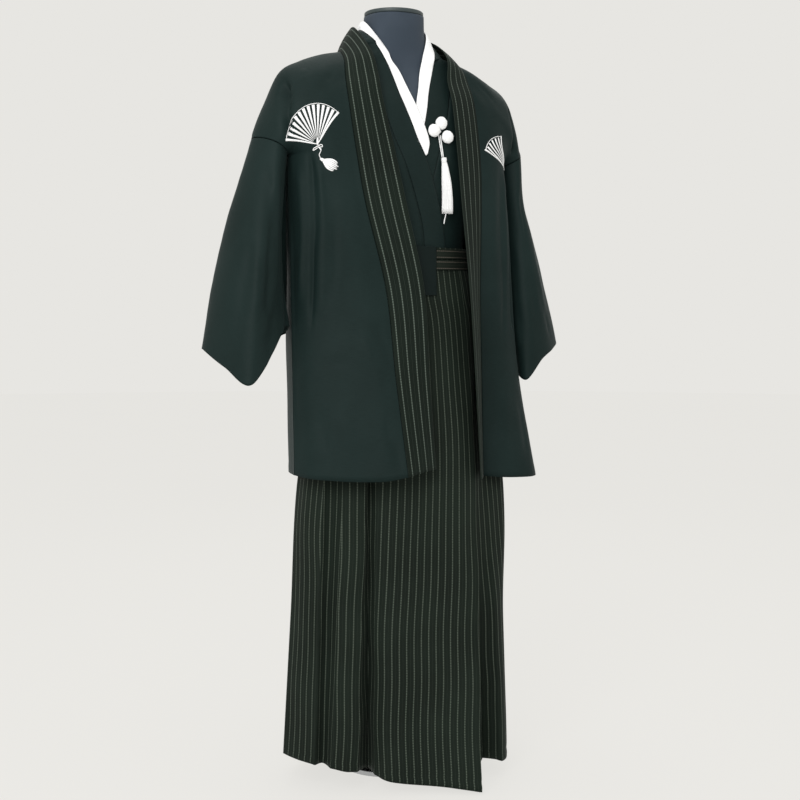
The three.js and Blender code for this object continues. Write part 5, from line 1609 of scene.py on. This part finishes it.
# ------------------------------------------------------------------ light and camera
# In metres: the floor, the lights (place, target, size and watts) and the camera fitted to the photograph.
FLOOR_RADIUS = 14
LIGHTS = {
    "key": ((-2.6, -2.6, 2.6), (0, 0, 0.9), (2.2, 2.2), 105),
    "fill": ((2.6, -2.4, 1.6), (0, 0, 0.9), (2.4, 2.4), 3),
    "top": ((0.2, 0.3, 3.2), (0, 0, 1.0), (2.0, 2.0), 14),
    "back": ((1.8, 2.4, 2.2), (0, 0, 0.9), (2.4, 2.2), 8),
}
AZIMUTH, YAW, PITCH = math.radians(-29.951), math.radians(-0.288), math.radians(1.905)
DISTANCE, HEIGHT = 2.7773, 0.9310
FOCAL_PIXELS, PICTURE_PIXELS = 1374.8, 800
SENSOR, SHIFT_Y = 36, -0.05


def build_stage():
    mesh = bpy.data.meshes.new("floor")
    angle = np.arange(96) * 2 * math.pi / 96
    ring = [(FLOOR_RADIUS * math.cos(a), FLOOR_RADIUS * math.sin(a), -0.0005) for a in angle]
    mesh.from_pydata(ring, [], [tuple(range(96))])
    mesh.materials.append(plain_floor("pale_floor"))
    floor = bpy.data.objects.new("floor", mesh)
    bpy.context.collection.objects.link(floor)
    world = bpy.data.worlds.new("studio")
    bpy.context.scene.world = world
    world.use_nodes = True
    background = world.node_tree.nodes["Background"]
    background.inputs["Color"].default_value = BACKDROP
    background.inputs["Strength"].default_value = 1.0


def area_light(name, place, target, size, energy):
    data = bpy.data.lights.new(name, "AREA")
    data.shape = "RECTANGLE"
    data.size, data.size_y = size
    data.energy = energy
    obj = bpy.data.objects.new(name, data)
    bpy.context.collection.objects.link(obj)
    obj.location = place
    obj.rotation_euler = (Vector(target) - Vector(place)).to_track_quat("-Z", "Y").to_euler()


def build_camera():
    data = bpy.data.cameras.new("camera")
    data.sensor_width = SENSOR
    data.lens = SENSOR * FOCAL_PIXELS / PICTURE_PIXELS
    data.shift_y = SHIFT_Y
    data.clip_end = 60
    camera = bpy.data.objects.new("camera", data)
    bpy.context.collection.objects.link(camera)
    camera.location = (math.sin(AZIMUTH) * DISTANCE, -math.cos(AZIMUTH) * DISTANCE, HEIGHT)
    way = AZIMUTH + YAW
    look = Vector((-math.sin(way) * math.cos(PITCH), math.cos(way) * math.cos(PITCH), -math.sin(PITCH)))
    camera.rotation_euler = look.to_track_quat("-Z", "Y").to_euler()
    bpy.context.scene.camera = camera


build_camera()
build_stage()
for light_name, light in LIGHTS.items():
    area_light(light_name, *light)
bpy.context.scene.view_settings.view_transform = "Standard"
bpy.context.scene.view_settings.look = "None"

build_form()
kimono_front("kimono_front_right", "right")
kimono_front("kimono_front_left", "left")
kimono_back()
kimono_collar()
white_collar()
right_body = haori_body("haori_body_right", HAORI_RIGHT, "right", 602, 5)
left_body = haori_body("haori_body_left", HAORI_LEFT, "left", 586, 6)
haori_sleeve("haori_sleeve_right", SLEEVE_RIGHT, "right", 7, right_body)
haori_sleeve("haori_sleeve_left", SLEEVE_LEFT, "left", 8, left_body)
build_fans(right_body, left_body)
haori_collar()
kimono_sleeve("kimono_sleeve_right", SLEEVE_RIGHT, "right")
kimono_sleeve("kimono_sleeve_left", SLEEVE_LEFT, "left")
build_hakama()
sash_end()
build_ornament()

bpy.context.view_layer.update()
